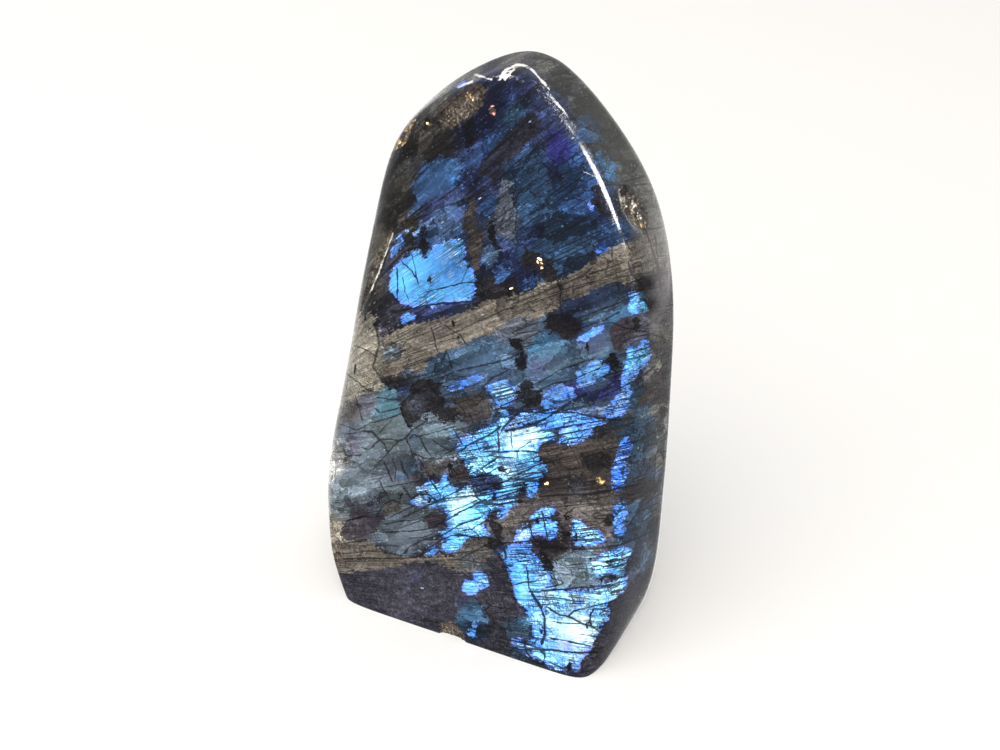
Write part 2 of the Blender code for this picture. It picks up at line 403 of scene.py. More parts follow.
FRONT_FLASH = {
    "eye": ("clear_blue", "389,286 390,274 396,264 412,252 420,250 424,257 434,246 452,239 460,239 "
        "466,244 466,258 472,265 476,280 474,298 440,304 414,308 396,299 391,294"),
    "eye_drop": ("azure", "400,322 404,314 413,312 416,318 403,325"),
    "heart": ("sky", "457,444 478,430 490,426 508,414 507,430 514,427 530,425 545,428 554,432 556,440 "
        "541,444 538,452 541,460 551,467 541,480 533,500 527,497 524,488 518,494 516,503 501,519 "
        "493,513 481,521 484,528 491,534 466,539 464,546 459,551 450,552 443,549 444,540 440,533 "
        "446,527 445,519 448,513 440,508 430,505 418,490 428,481 433,479 437,484 442,476 447,474 "
        "451,483 458,487 468,486 470,478 462,462"),
    "heart_horn": ("steel_azure", "484,387 495,381 506,379 515,385 513,398 507,408 512,414 503,419 "
        "494,397"),
    "heart_drop": ("azure", "426,554 429,547 436,547 438,550 434,556 429,557"),
    "mid_left_patch": ("cornflower", "541,405 545,395 553,388 562,385 572,390 576,398 546,412"),
    "mid_right_patch": ("steel_azure", "575,374 585,366 600,360 608,362 612,370 606,376 583,386 577,382"),
    "heart_wing": ("azure", "510,424 522,413 560,408 580,412 600,420 606,426 570,426 550,430 530,424"),
    "flank_upper": ("sky", "623,380 624,362 627,350 633,343 636,352 635,366 630,377"),
    "flank_upper_right": ("steel_azure", "636,352 641,340 648,338 651,350 649,362 632,378"),
    "flank_lower": ("cornflower", "604,413 608,402 628,388 633,392 630,405 624,414 614,419 606,418"),
    "wing_drop": ("azure", "557,441 560,432 570,426 595,430 592,436 571,446"),
    "edge_strip": ("vivid", "621,442 627,436 632,443 627,455 627,476 624,487 617,492 611,487 611,468 "
        "617,458"),
    "edge_strip_low": ("azure", "611,512 618,503 627,500 625,508 626,516 623,522 626,537 618,537 "
        "614,529"),
    "ring_cap": ("sky", "529,517 535,511 553,504 558,510 557,516 531,521"),
    "ring_left": ("azure", "514,532 519,527 527,525 531,529 534,522 550,518 558,520 559,529 556,538 "
        "549,540 543,535 536,533 530,539 522,542 515,541"),
    "ring_right": ("sky", "570,524 575,519 581,519 584,524 591,528 599,528 603,535 604,541 580,548 "
        "574,545"),
    "heel_left": ("azure", "497,547 525,543 532,546 531,553 542,561 551,573 549,581 553,590 545,600 "
        "543,610 546,635 542,645 533,645 529,641 534,637 531,630 532,622 514,597 512,584 507,574 "
        "504,562"),
    "heel": ("ice", "541,592 553,590 590,590 600,588 620,577 628,582 626,590 608,603 611,612 609,620 "
        "602,627 588,656 582,660 579,665 582,668 575,671 545,664 530,656 528,648 535,642 542,645 "
        "546,635 545,622"),
    "heel_right": ("sky", "592,562 600,556 620,548 628,549 632,555 625,568 628,577 620,580 612,574 "
        "605,572 598,577 593,570"),
    "foot_patch": ("azure", "463,586 466,580 473,579 473,574 479,570 485,574 490,587 484,589 478,588 "
        "475,593 469,594 464,591"),
    "foot_sliver": ("azure", "469,627 474,622 478,625 478,636 473,638 469,634"),
    "foot_violet": ("periwinkle", "415,568 419,570 419,577 414,583 410,581"),
    "foot_violet_drop": ("periwinkle", "455,597 460,600 460,605 456,603"),
    "band_end": ("sky", "629,290 637,292 638,314 630,315"),
    "under_wedge": ("azure", "578,340 586,331 606,324 604,330 584,342"),
    "slate_streak": ("denim_light", "447,388 462,380 478,375 482,378 466,387 450,391"),
    "foot_streak": ("steel_azure", "512,640 520,640 528,648 532,658 515,647"),
    "heart_toe": ("steel_azure", "410,501 418,495 430,494 437,501 416,506"),
    "flank_streak": ("steel_azure", "620,380 630,372 637,376 630,388 621,393"),
    "left_rim_patch": ("mid_blue", "400,236 404,240 402,246 391,258 393,248"),
    "shoulder_fleck": ("azure", "589,202 594,200 595,214 590,216"),
    "crown_fleck": ("periwinkle", "458,86 464,82 467,84 462,88"),
}
FRONT_MATRIX = {
    "band": ("taupe", "386,345 384,334 394,331 402,326 415,322 447,318 460,312 488,302 520,293 538,285 "
        "568,274 596,258 622,244 650,235 657,238 656,258 640,276 630,281 626,288 617,284 603,285 "
        "575,296 563,302 556,310 535,318 515,319 488,334 452,347 428,360 420,372 402,368 396,376 "
        "384,378 379,370 378,362 396,361 402,354 400,346"),
    "band_left_end": ("beige", "340,312 370,312 378,316 376,326 380,346 373,366 384,386 374,391 "
        "364,392 330,412 330,390 336,360"),
    "brown_field": ("umber", "540,446 548,441 560,446 570,447 581,444 592,437 616,430 619,438 611,466 "
        "610,478 612,489 602,496 580,498 560,499 537,504 538,492 542,481 548,472 547,466 541,460 "
        "538,453"),
    "ring_rock": ("taupe_brown", "536,506 546,501 560,499 600,496 616,491 611,512 613,526 609,538 "
        "602,530 591,526 583,519 575,517 568,522 566,536 561,546 558,540 558,508 548,505"),
    "foot_rock": ("taupe_brown", "466,542 478,538 492,538 492,556 480,566 466,574 459,572 457,562 "
        "460,552"),
    "foot_band": ("taupe", "330,543 356,541 370,543 400,557 420,558 440,554 456,556 458,572 430,562 "
        "415,563 380,569 360,571 349,574 330,572"),
    "brow_rust": ("brown", "436,113 462,90 474,84 485,84 483,104 474,113 450,127 441,124"),
    "pocket_floor": ("straw", "622,197 628,195 637,203 643,212 646,222 638,224 630,219"),
    # Lighter grey along the top right edge: partly the rock's tone, partly a painted reflection along the
    # edge.
    "flank_rim": ("flank_grey", "632,168 640,168 655,195 668,235 674,258 662,262 650,232 644,206 "
        "637,188"),
    "eye_vein": ("umber", "467,198 477,200 476,212 478,225 484,236 477,271 471,266 468,255 467,240 "
        "462,221 469,206"),
    "gold_seat": ("dark_brown", "550,284 560,279 566,284 568,298 560,306 551,300"),
    "pebble_rock": ("umber", "462,394 478,390 485,392 492,405 491,417 480,423 468,425 458,418 452,408 "
        "454,398"),
    "upper_vein": ("dusk", "478,169 490,150 506,134 520,120 534,114 543,121 537,134 521,150 507,164 "
        "498,176 485,179"),
    "upper_lens": ("ash", "499,182 512,178 513,200 515,222 512,236 500,232 497,212"),
    "flank_plum": ("plum_brown", "607,328 622,318 630,315 637,319 639,328 633,334 621,353 614,350"),
    "flank_violet": ("slate_violet", "634,318 642,314 650,322 650,334 642,338 636,330"),
    "ring_arch": ("taupe_brown", "500,525 510,517 534,503 545,500 540,507 520,518 516,526 508,532 "
        "502,531"),
    "heart_hollow": ("dusk_blue", "466,479 480,471 492,473 504,479 499,489 484,492 472,487"),
    "under_band_ash": ("ash", "500,328 516,320 530,319 536,326 532,340 505,342 498,338"),
    "slate_grey_left": ("grey_brown", "384,503 391,500 400,503 400,508 392,515 382,514"),
    "slate_grey_right": ("grey_brown", "427,468 434,462 441,465 442,473 434,477 428,473"),
    "slate_plum": ("plum_brown", "426,514 438,511 446,517 442,526 430,529 424,521"),
    "heart_plum": ("plum_brown", "440,462 448,458 455,460 450,468 443,472"),
    "flank_brown": ("umber", "655,372 668,368 668,400 655,400 642,404 622,432 618,428 628,414 648,384"),
    "flank_brown_low": ("umber", "620,494 640,480 660,478 660,492 626,503"),
}
FRONT_DARK = {
    "pebble_crown": ("coal", "384,379 400,377 414,380 426,378 438,381 446,402 458,410 466,420 452,424 "
        "441,420 432,412 421,418 411,428 400,408 404,398 411,396 411,384 396,384 390,388"),
    "eye_needle": ("black", "423,225 430,247 426,246 424,257 419,240"),
    "brow_needle": ("black", "462,121 472,116 474,124 471,133 473,141 470,150 466,141"),
    "gold_pit": ("coal", "520,256 524,249 533,248 552,262 558,272 552,280 522,268"),
    "mid_needle": ("black", "511,341 519,339 526,353 523,376 517,346"),
    "heart_fleck": ("black", "497,468 501,467 504,472 501,473"),
    "heart_thorn": ("black", "521,487 527,484 524,503 521,502"),
    "heel_fleck_top": ("black", "586,580 589,580 591,588 588,587"),
    "heel_fleck_left": ("black", "586,621 589,621 589,624 586,624"),
    "heel_fleck_low": ("black", "583,626 587,625 588,628 586,632"),
    "mid_fleck": ("black", "564,395 569,393 569,396 565,398"),
    "mid_star": ("coal", "521,385 526,380 531,384 533,390 539,393 540,400 535,406 530,404 528,411 "
        "524,404 518,402 517,394"),
    "mid_star_core": ("black", "525,387 529,386 530,394 535,398 530,402 526,396"),
    "flank_star": ("black", "608,354 612,351 617,353 617,358 621,362 620,370 615,376 606,364 600,361 "
        "606,360"),
    "flank_thorn": ("black", "625,321 627,318 629,326 626,328"),
    "flank_thorn_right": ("black", "633,315 637,317 638,329 634,331 629,328 634,324"),
    "under_band_blot": ("coal", "548,312 556,312 560,318 567,322 578,324 581,332 572,339 564,338 "
        "556,332 550,334 546,325"),
    "heart_left_blot": ("dark_brown", "447,471 456,461 464,459 471,480 462,483 451,479"),
    "heart_left_core": ("black", "448,477 451,472 456,471 450,480"),
    "ring_left_blot": ("coal", "487,515 495,513 506,536 502,546 505,550 495,553 488,546 492,535 488,525"),
    "slate_corner": ("dusk_plum", "348,503 361,506 370,512 386,517 370,537 362,541 345,542 342,533 "
        "342,524 350,518"),
    "foot": ("plum", "330,576 349,575 360,572 380,570 415,564 430,563 456,573 460,582 457,592 462,600 "
        "456,612 446,616 441,625 438,645 400,640 330,615"),
    "heel_hollow": ("plum", "493,560 500,554 513,587 514,598 528,615 500,622 512,655 500,665 478,655 "
        "491,630 489,616 483,605 476,598 491,585 490,572"),
    # The plum low on the right flank is partly painted shade, where the flank turns under towards the
    # base.
    "heel_right_foot_and_shade": ("plum", "603,632 612,622 610,605 628,592 634,584 640,600 632,640 600,685 "
        "578,676 585,660"),
    "band_thorn": ("black", "588,255 594,250 596,262 592,268"),
    "band_left_fleck": ("black", "361,299 366,298 370,308 365,313"),
    "brow_fleck": ("black", "443,113 450,113 452,122 446,123"),
    "band_hollow": ("coal", "497,300 506,297 517,303 516,318 505,322 496,315"),
    "band_spike": ("black", "590,270 597,270 598,284 592,286 589,278"),
    "gold_spike": ("black", "559,275 562,276 562,290 559,288"),
    "band_hollow_core": ("black", "496,314 507,303 512,301 516,315 509,316 504,319"),
    "ring_hook": ("black", "541,551 548,553 551,560 551,569 546,568 539,556"),
    "heel_right_fleck": ("black", "606,565 609,560 614,559 611,565"),
    "ring_gap": ("black", "561,518 566,508 568,540 562,541 559,530"),
    "ring_right_blot": ("coal", "603,516 612,514 612,532 604,528"),
    "shoulder_blot": ("coal", "594,186 604,184 606,200 603,215 596,214 593,200"),
    "upper_needle": ("deep_navy", "538,222 544,221 545,232 539,236"),
    "band_end_blot": ("coal", "634,282 645,281 652,286 645,290 634,290"),
    "brown_core": ("coal", "582,455 600,452 612,456 611,468 598,472 584,468"),
    "eye_right_needle": ("black", "488,222 493,216 495,226 491,236 487,230"),
    "eye_right_fleck": ("black", "491,238 497,242 500,248 494,248"),
    "ring_floor": ("coal", "536,541 560,542 566,549 556,556 545,550 536,548"),
}
FRONT_GOLD = {
    "pocket_straw": ("pale_straw", "621,196 627,194 636,200 642,207 645,218 640,222 632,218 625,208"),
    "pocket_gold": ("gold", "632,219 640,222 646,222 649,229 634,225"),
    "bright_nugget": ("pale_gold", "536,260 538,257 541,258 544,268 541,269"),
    "left_brow_gold": ("gold", "393,150 409,125 415,120 402,147"),
    "base_nick": ("brown", "438,623 452,622 464,634 455,637 444,632"),
    "left_bruise": ("pale_slate", "343,458 347,457 348,462 344,464"),
    "left_bruise_top": ("slate_violet", "351,404 355,402 356,408 354,414 351,411"),
    "rose_spot": ("rose", "487,112 491,105 496,107 497,113 492,117"),
    "band_nugget": ("pale_gold", "510,288 514,284 514,287 511,290"),
    "brow_gold": ("gold", "465,97 468,92 471,96 471,103 468,103"),
    "brow_gold_left": ("gold", "446,113 449,110 451,114 447,118"),
    "brow_glint": ("pale_gold", "427,123 430,123 432,126 429,126"),
    "brown_gold": ("gold", "594,478 600,474 606,480 602,487 597,485"),
    "heart_glint": ("pale_gold", "545,482 548,482 548,486 545,486"),
}

# Pale scratches and painted highlights of the front, by region: half-width, and the places that each one
# passes, as x,y in photo pixels. The crown's, the brow's and the pocket's are painted highlights, white
# reflections along those edges; the left fissure's and the shoulder's are pale scratches.
FRONT_SCRATCHES_AND_HIGHLIGHTS = {
    "crown": (
        (1.6, "500,79 504,73 509,68"),
        (1.3, "505,79 510,74 514,68"),
        (1.1, "510,67 517,65 523,65 530,68 536,74"),
        (0.9, "536,74 549,89"),
    ),
    "brow": (
        (1.0, "459,87 464,84 471,82"),
        (0.9, "476,75 490,79"),
    ),
    "left_fissure": (
        (0.7, "392,234 382,264 371,291"),
    ),
    "pocket": (
        (0.9, "621,190 624,195 628,200"),
    ),
    "shoulder": (
        (0.4, "584,172 597,177"),
    ),
}

# Main cracks of the front, in the same form.
FRONT_CRACKS = {
    "heel": (
        (1.3, "531,592 541,608 544,617 545,634 542,643"),
        (0.6, "527,568 529,588 531,592"),
        (0.9, "529,521 532,535 536,541"),
        (0.9, "542,512 547,538"),
        (0.8, "514,524 545,518 558,515"),
        (0.7, "511,586 520,583 545,580"),
        (0.9, "530,592 565,589 585,587 610,586 627,580"),
        (0.8, "548,608 560,615 568,616 583,624 592,626 600,632 606,634 615,632"),
        (0.8, "568,616 574,611 606,603 615,600"),
        (0.9, "594,609 590,615 590,622 592,627"),
        (0.6, "550,621 562,623 588,624"),
        (0.8, "551,638 590,646"),
        (0.6, "580,634 598,637"),
        (1.0, "527,649 550,650 580,653 602,652"),
        (0.9, "525,641 525,648 532,661 544,664"),
        (0.8, "541,650 545,655 544,662"),
        (0.7, "550,662 567,671"),
    ),
    "ring": (
        (1.0, "500,543 515,543 532,541 536,546"),
        (0.9, "500,541 504,546 506,558"),
        (0.5, "511,550 530,549"),
        (0.5, "511,555 520,554 531,555"),
        (0.5, "512,563 530,560"),
        (0.9, "560,549 580,549 600,548 620,545 655,530"),
        (0.7, "594,566 615,566 623,564"),
        (0.6, "571,530 598,527"),
        (0.6, "580,538 590,535 601,534"),
        (0.7, "596,579 608,577 626,577"),
    ),
    "eye": (
        (1.0, "381,277 400,256 410,249 420,247"),
        (0.6, "397,268 398,284 397,301"),
        (0.5, "412,255 418,283"),
        (0.5, "402,262 411,270 416,277"),
        (0.5, "403,278 405,290 408,299"),
        (0.6, "427,292 462,283 479,282"),
        (0.5, "462,281 466,271 471,265"),
        (1.2, "392,312 425,306 445,303 472,302"),
    ),
    "band": (
        (1.0, "376,324 379,345 373,367 382,381"),
        (0.8, "345,372 366,389 372,391"),
        (0.6, "356,346 368,351 376,356"),
        (0.8, "432,328 437,350"),
        (0.6, "446,326 460,335 467,345"),
        (0.5, "402,341 420,335 440,327"),
        (0.7, "612,248 613,262 620,293"),
        (1.0, "628,262 633,276 642,285"),
        (0.7, "655,236 658,262 660,285"),
        (0.8, "558,280 561,292 560,305 564,320"),
    ),
    "upper_middle": (
        (0.7, "512,172 516,184 513,197 517,212 515,228 518,243 515,256"),
    ),
    "middle": (
        (1.0, "440,379 455,371 480,366 505,360 518,354"),
        (0.7, "442,362 446,350 452,368"),
        (0.8, "482,388 492,378 520,364"),
        (0.9, "500,408 520,411 545,413 570,412 600,418 622,420"),
        (1.3, "502,430 522,408 530,402"),
        (1.2, "506,431 530,426 545,419 574,400 588,392"),
        (0.8, "540,382 560,370 596,358"),
        (0.8, "538,392 552,384 572,380 600,368"),
        (0.7, "545,432 570,426 600,421 622,420"),
        (0.9, "600,398 620,388 640,378 655,366"),
    ),
    "heart_top": (
        (1.1, "458,453 468,445 488,436 500,427"),
        (1.0, "498,432 499,451"),
        (0.9, "486,452 520,451 535,452"),
        (0.6, "480,457 490,456 514,458"),
        (0.8, "482,468 497,458"),
        (0.8, "476,443 480,452"),
        (0.7, "482,468 486,473"),
        (0.7, "490,472 496,468"),
        (0.5, "518,458 517,452 519,449 531,441"),
        (0.5, "511,430 512,448"),
        (0.8, "470,478 502,474"),
        (0.8, "510,478 540,464 560,462"),
        (0.5, "515,465 528,462 540,461"),
    ),
    "heart": (
        (1.1, "476,493 512,479 540,481 570,476"),
        (1.1, "404,517 420,510 448,496 462,488"),
        (0.9, "444,499 480,495 495,490 528,484"),
        (0.9, "490,500 522,490"),
        (1.1, "486,503 500,504 512,502 521,502"),
        (0.9, "446,521 465,509 485,500"),
        (0.7, "448,513 478,500"),
        (0.6, "450,517 474,506"),
        (0.9, "440,537 460,524 480,518"),
        (0.9, "424,552 440,541 452,535 462,535 480,538 490,538"),
        (0.5, "462,531 472,529 482,523"),
        (1.0, "474,490 477,497 482,502"),
        (0.8, "430,480 440,494 440,499"),
        (0.6, "440,490 455,480"),
        (0.7, "426,492 437,501"),
    ),
    "brown_field": (
        (1.2, "540,496 560,495 590,494 612,490 640,484"),
    ),
    "band_grain": (
        (0.45, "430,342 460,330 490,316 515,306"),
        (0.45, "520,307 545,298 570,290 600,282"),
        (0.6, "560,285 590,274 620,264 645,256"),
        (0.45, "575,290 600,279 625,270 650,262"),
        (0.45, "505,302 530,292 550,284"),
        (0.5, "400,352 430,345 460,337"),
    ),
    "foot": (
        (0.8, "342,559 370,558 400,559 420,556 448,540"),
        (0.6, "404,552 415,543 428,538 446,534"),
        (0.8, "462,558 492,542"),
    ),
    "slate": (
        (0.8, "401,408 404,418 408,426 412,430"),
        (0.9, "364,431 372,432 384,444 388,453"),
        (0.9, "426,422 412,430 406,438 398,441 374,468"),
        (0.8, "380,440 390,439 398,441"),
        (0.7, "363,448 370,449 380,440"),
        (0.8, "407,440 413,456"),
        (0.8, "413,453 424,458 438,459 462,444"),
        (0.8, "401,462 403,469 408,477"),
        (0.6, "393,461 396,469 395,479"),
        (0.8, "384,462 392,480"),
        (0.7, "418,458 430,476"),
        (0.6, "356,398 362,419"),
        (0.7, "376,409 380,413 402,407 408,396 418,390"),
        (0.6, "372,423 398,415"),
        (0.6, "378,398 400,400"),
        (0.6, "380,432 391,421"),
        (0.9, "344,449 346,456 360,455"),
        (0.5, "346,434 364,431"),
        (0.6, "380,482 389,499"),
        (0.5, "386,487 418,481"),
        (0.9, "404,488 411,499 419,494 429,495"),
        (0.7, "400,504 408,504 416,506 404,510 391,517"),
        (0.8, "378,514 384,504 392,500 399,503"),
        (0.6, "386,524 400,521 416,520 428,516"),
        (0.7, "380,532 416,531 432,528 444,521"),
        (0.5, "400,528 422,520"),
        (0.5, "410,538 422,538 434,533"),
        (0.8, "404,553 411,546 420,541"),
        (0.5, "378,545 400,546"),
        (0.8, "342,537 345,543 366,540"),
        (0.8, "344,521 366,516"),
    ),
    "pebble": (
        (0.6, "410,438 414,434 420,438 424,446 432,457"),
        (0.7, "420,436 454,427"),
        (0.6, "433,440 440,446 448,450"),
        (0.8, "454,430 462,444"),
    ),
    "flank": (
        (0.9, "622,444 640,440 655,432"),
    ),
    "upper": (
        (0.8, "545,166 560,178 585,181"),
        (0.9, "500,178 520,160 545,142 565,128"),
        (0.7, "485,160 505,142 528,120"),
        (0.9, "412,178 425,164 456,141"),
        (0.9, "415,220 440,208 470,198 500,182"),
        (0.8, "418,214 445,196 460,184"),
    ),
    "shoulder": (
        (0.7, "600,184 630,186 650,184"),
        (0.8, "648,229 655,229 664,226"),
        (0.7, "570,322 600,310 625,300 645,292"),
        (0.7, "575,330 600,322 620,312"),
        (0.7, "610,322 625,328 648,332 662,338"),
    ),
    "rim": (
        (0.6, "482,61 500,55"),
        (1.0, "389,250 379,275 369,302"),
        (0.7, "375,225 371,245 363,284"),
        (0.7, "631,186 638,205 645,228 655,258 661,290"),
        (0.5, "340,424 356,430 366,426"),
    ),
}

# Calm places of the front, with few fine cracks, by region: the place in photo pixels, and reach.
FRONT_CALM = {
    "upper_left": (
        (402, 280, 20), (420, 270, 18), (392, 190, 20), (378, 240, 18),
    ),
    "upper": (
        (440, 262, 16), (452, 284, 20), (436, 180, 24),
    ),
    "left": (
        (372, 440, 19), (356, 482, 20), (395, 425, 22), (400, 470, 22), (402, 534, 22), (430, 440, 18),
        (385, 405, 14), (356, 424, 14), (360, 524, 16), (440, 340, 16),
    ),
    "middle": (
        (500, 310, 16), (470, 325, 16), (555, 360, 26), (600, 345, 20), (622, 318, 14), (600, 300, 16),
        (480, 365, 20),
    ),
    "band_left_end": (
        (352, 350, 20),
    ),
    "crown": (
        (600, 110, 20), (625, 150, 18),
    ),
    "foot": (
        (570, 634, 20), (520, 590, 12), (400, 590, 40), (450, 600, 26),
    ),
    "heart": (
        (516, 446, 14), (462, 514, 12),
    ),
    "right_flank": (
        (660, 230, 18),
    ),
}

# Dull places of the front, with little gloss, in the same form.
FRONT_DULL = {
    "ridge_gap": (
        (578, 138, 11), (570, 119, 6),
    ),
    "flank": (
        (648, 284, 9), (649, 304, 10),
    ),
    "ridge_end": (
        (621, 236, 9), (626, 254, 10), (631, 272, 10), (635, 290, 10),
    ),
}

# Brighter or deeper light in the panels and the flash: tone, place in photo pixels, reach and strength.
FLASH_GLOWS = {
    "eye": (
        ("clear_blue", 404, 278, 20, 1.0), ("denim_light", 454, 270, 26, 1.0),
        ("denim_light", 446, 254, 15, 0.7), ("azure", 412, 302, 8, 0.8), ("azure", 456, 182, 6, 0.7),
    ),
    "ring": (
        ("ice", 584, 534, 13, 1.0), ("ice", 548, 511, 8, 0.6), ("sky", 550, 527, 8, 0.5),
        ("ice", 556, 516, 9, 0.7), ("white_ice", 521, 534, 8, 0.9), ("cobalt", 502, 510, 8, 0.9),
        ("ice", 524, 532, 7, 0.8), ("cobalt", 553, 534, 6, 0.8),
    ),
    "heel": (
        ("ice", 596, 566, 9, 0.8), ("sky", 526, 616, 9, 0.8), ("white_ice", 548, 596, 9, 0.8),
        ("azure", 553, 646, 10, 0.8), ("sky", 522, 580, 12, 0.7), ("sky", 516, 598, 9, 0.5),
        ("ice", 536, 620, 8, 0.8), ("azure", 540, 638, 7, 0.8), ("ice", 528, 590, 6, 0.6),
        ("white_ice", 580, 630, 16, 1.0), ("white_ice", 592, 642, 8, 0.9), ("lavender", 566, 645, 9, 0.9),
        ("lavender", 586, 654, 7, 0.9), ("sky", 560, 600, 10, 0.7), ("moss_light", 580, 600, 12, 0.9),
        ("sky", 600, 612, 9, 1.0), ("azure", 606, 594, 8, 0.6), ("ice", 545, 578, 8, 0.8),
        ("azure", 560, 662, 9, 0.9), ("sky", 545, 655, 7, 0.8), ("white_ice", 572, 664, 5, 0.8),
        ("ice", 622, 560, 6, 0.6), ("white_ice", 606, 562, 6, 0.6), ("moss_light", 576, 580, 9, 0.7),
        ("moss", 568, 568, 13, 1.0),
    ),
    "heart": (
        ("white_ice", 422, 496, 9, 0.9), ("navy", 484, 484, 10, 0.8), ("cobalt", 494, 492, 8, 0.8),
        ("white_ice", 514, 438, 13, 1.0), ("white_ice", 530, 434, 10, 0.9), ("ice", 512, 460, 18, 0.8),
        ("white_ice", 508, 470, 10, 0.7), ("cobalt", 468, 440, 9, 1.0), ("azure", 484, 446, 10, 0.8),
        ("ice", 478, 462, 9, 0.7), ("sky", 526, 470, 12, 0.7), ("ice", 455, 520, 12, 0.6),
        ("white_ice", 456, 503, 9, 0.8), ("cobalt", 508, 497, 7, 0.8), ("lavender", 488, 528, 6, 0.8),
        ("white_ice", 470, 496, 8, 0.7), ("azure", 440, 494, 12, 0.6), ("ice", 470, 528, 10, 0.5),
        ("azure", 452, 545, 8, 0.8), ("indigo", 590, 444, 7, 0.7), ("ice", 566, 434, 6, 0.6),
    ),
    "flank": (
        ("sky", 640, 356, 8, 0.6),
    ),
}

# Lighter or darker spots in the dull rock and the dark crystals, in the same form.
ROCK_GLOWS = {
    "low_rock": (
        ("taupe", 360, 556, 12, 0.8), ("olive", 600, 440, 8, 0.7), ("brown", 570, 465, 7, 0.5),
        ("taupe_brown", 526, 508, 12, 0.7), ("slate", 470, 562, 9, 0.7), ("ash", 577, 488, 10, 0.6),
    ),
    "pebble": (
        ("coal", 424, 392, 14, 0.6), ("ash", 415, 405, 8, 0.7),
    ),
    "band": (
        ("umber", 440, 360, 8, 0.3), ("brown", 390, 372, 8, 0.6), ("umber", 396, 362, 7, 0.2),
        ("taupe", 474, 333, 12, 0.6), ("beige", 404, 336, 18, 0.9), ("taupe", 600, 276, 14, 0.6),
        ("beige", 510, 310, 12, 0.5), ("umber", 556, 296, 9, 0.5), ("taupe_brown", 640, 272, 9, 0.5),
    ),
}

# The hidden sides and the back, unrolled, in the same forms, with their places as u,z in mm. u is 0 at
# the middle of the back and grows with x. Past the corners it goes on along the sides to the front.
BACK_GROUND = {
    "top": (
        ("navy", -15, 108, 14), ("soot", 12, 110, 12), ("deep_teal", 30, 96, 12), ("denim", -30, 88, 12),
        ("olive", -52, 88, 14),
    ),
    "middle": (
        ("dusk_blue", 0, 76, 14), ("steel", -20, 64, 12), ("slate", 24, 58, 14), ("teal", -4, 46, 14),
        ("moss", -56, 60, 12), ("slate", -58, 44, 12), ("teal", 46, 72, 12), ("steel", 58, 52, 12),
    ),
    "foot": (
        ("slate", -36, 36, 14), ("plum", 0, 6, 16), ("coal", -30, 6, 14), ("night_teal", 34, 22, 14),
        ("plum", -60, 10, 14), ("umber", 58, 36, 10), ("coal", 56, 8, 14),
    ),
}
BACK_PANELS = {
    "upper_left": ("denim", "-26,96 -14,100 -4,96 -6,86 -18,82 -28,86"),
    "upper_right": ("steel", "4,98 16,100 22,92 18,84 8,86"),
    "mid_left": ("mid_blue", "-30,70 -20,76 -8,74 -10,64 -24,60 -32,62"),
    "mid_right": ("dusk_blue", "10,70 24,76 30,68 24,60 12,62"),
    "low_middle": ("denim", "-12,34 2,38 10,30 6,20 -8,18 -16,24"),
    "right_side": ("deep_teal", "38,60 50,64 58,56 54,44 42,42 36,50"),
    "left_side": ("blue_slate", "-56,74 -44,78 -38,68 -42,60 -54,62"),
    "left_side_low": ("night_teal", "-58,30 -46,36 -40,26 -46,16 -58,18"),
    "middle": ("moss", "16,46 26,50 32,42 26,36 16,38"),
}
BACK_FLASH = {
    "river": ("sky", "-28,44 -22,50 -14,51 -6,56 2,60 11,61 13,57 8,52 13,48 6,45 -2,43 -5,38 3,36 "
        "10,39 14,33 8,28 12,23 6,17 -1,12 -8,15 -6,22 -12,27 -15,33 -26,38"),
    "river_right": ("azure", "16,36 23,42 30,45 31,38 25,34 19,31"),
    "river_left": ("azure", "-27,24 -21,30 -16,31 -18,24 -23,18 -29,18"),
    "upper_left": ("azure", "-24,86 -10,98 -4,100 -6,94 -12,89 -16,84 -22,82"),
    "upper_right": ("cobalt", "8,86 13,94 20,98 22,94 17,87 12,82"),
    "mid_left": ("periwinkle", "-28,66 -20,71 -12,77 -7,77 -12,70 -18,67 -24,62"),
    "mid_right": ("azure", "12,66 18,72 26,76 28,72 16,62"),
    "right_side": ("azure", "40,54 46,60 52,62 54,56 48,50 42,47"),
    "left_side": ("cobalt", "-56,24 -48,32 -42,33 -43,26 -50,18 -56,18"),
    "right_side_low": ("azure", "42,26 48,34 56,36 58,30 52,23 45,18"),
    "low_drop": ("sky", "20,22 25,26 28,25 25,19"),
    "mid_drop": ("periwinkle", "-3,70 3,75 6,73 1,68"),
    "foot_drop": ("azure", "-19,9 -13,14 -10,11 -15,6"),
    "middle_drop": ("cobalt", "25,52 30,57 32,53 28,48"),
}
BACK_MATRIX = {
    "band": ("taupe", "-75,46 -60,50 -44,56 -16,62 0,70 28,82 42,86 75,90 75,80 58,79 44,77 30,73 "
        "16,68 -12,56 -28,52 -42,47 -58,40 -75,36"),
    "umber_field": ("umber", "-14,14 -8,20 -10,30 -18,34 -26,33 -24,22 -20,14"),
    "foot_rock": ("taupe_brown", "28,8 40,14 52,16 60,12 56,4 40,2 28,2"),
    "right_patch": ("umber", "24,56 32,58 34,50 30,46 24,48"),
    "crown_rust": ("brown", "-10,106 0,108 6,104 0,100 -8,101"),
}
BACK_DARK = {
    "foot_left": ("coal", "-44,8 -30,12 -16,10 -14,2 -30,-4 -50,-4"),
    "foot_right": ("plum", "10,12 18,18 26,14 30,4 20,-4 8,-4"),
    "upper_slash": ("coal", "-9,77 4,90 9,90 6,83 1,78 -5,74"),
    "right_blot": ("coal", "30,40 37,42 38,35 32,33"),
    "left_blot": ("plum", "-40,44 -33,47 -30,40 -36,35 -42,38"),
    "band_needle": ("black", "-1,60 1,60 1,54 -1,53"),
    "band_needle_right": ("black", "20,79 22,80 22,73 20,73"),
}
BACK_GOLD = {
    "upper_gold": ("gold", "-4,98 -1,100 1,97 -2,95"),
    "foot_gold": ("gold", "34,4 38,6 40,3 36,1"),
}


def outward(azimuth, elevation):
    """The unit direction at this azimuth and elevation, in degrees."""
    turn, rise = math.radians(azimuth), math.radians(elevation)
    return Vector((math.sin(turn) * math.cos(rise), -math.cos(turn) * math.cos(rise), math.sin(rise)))


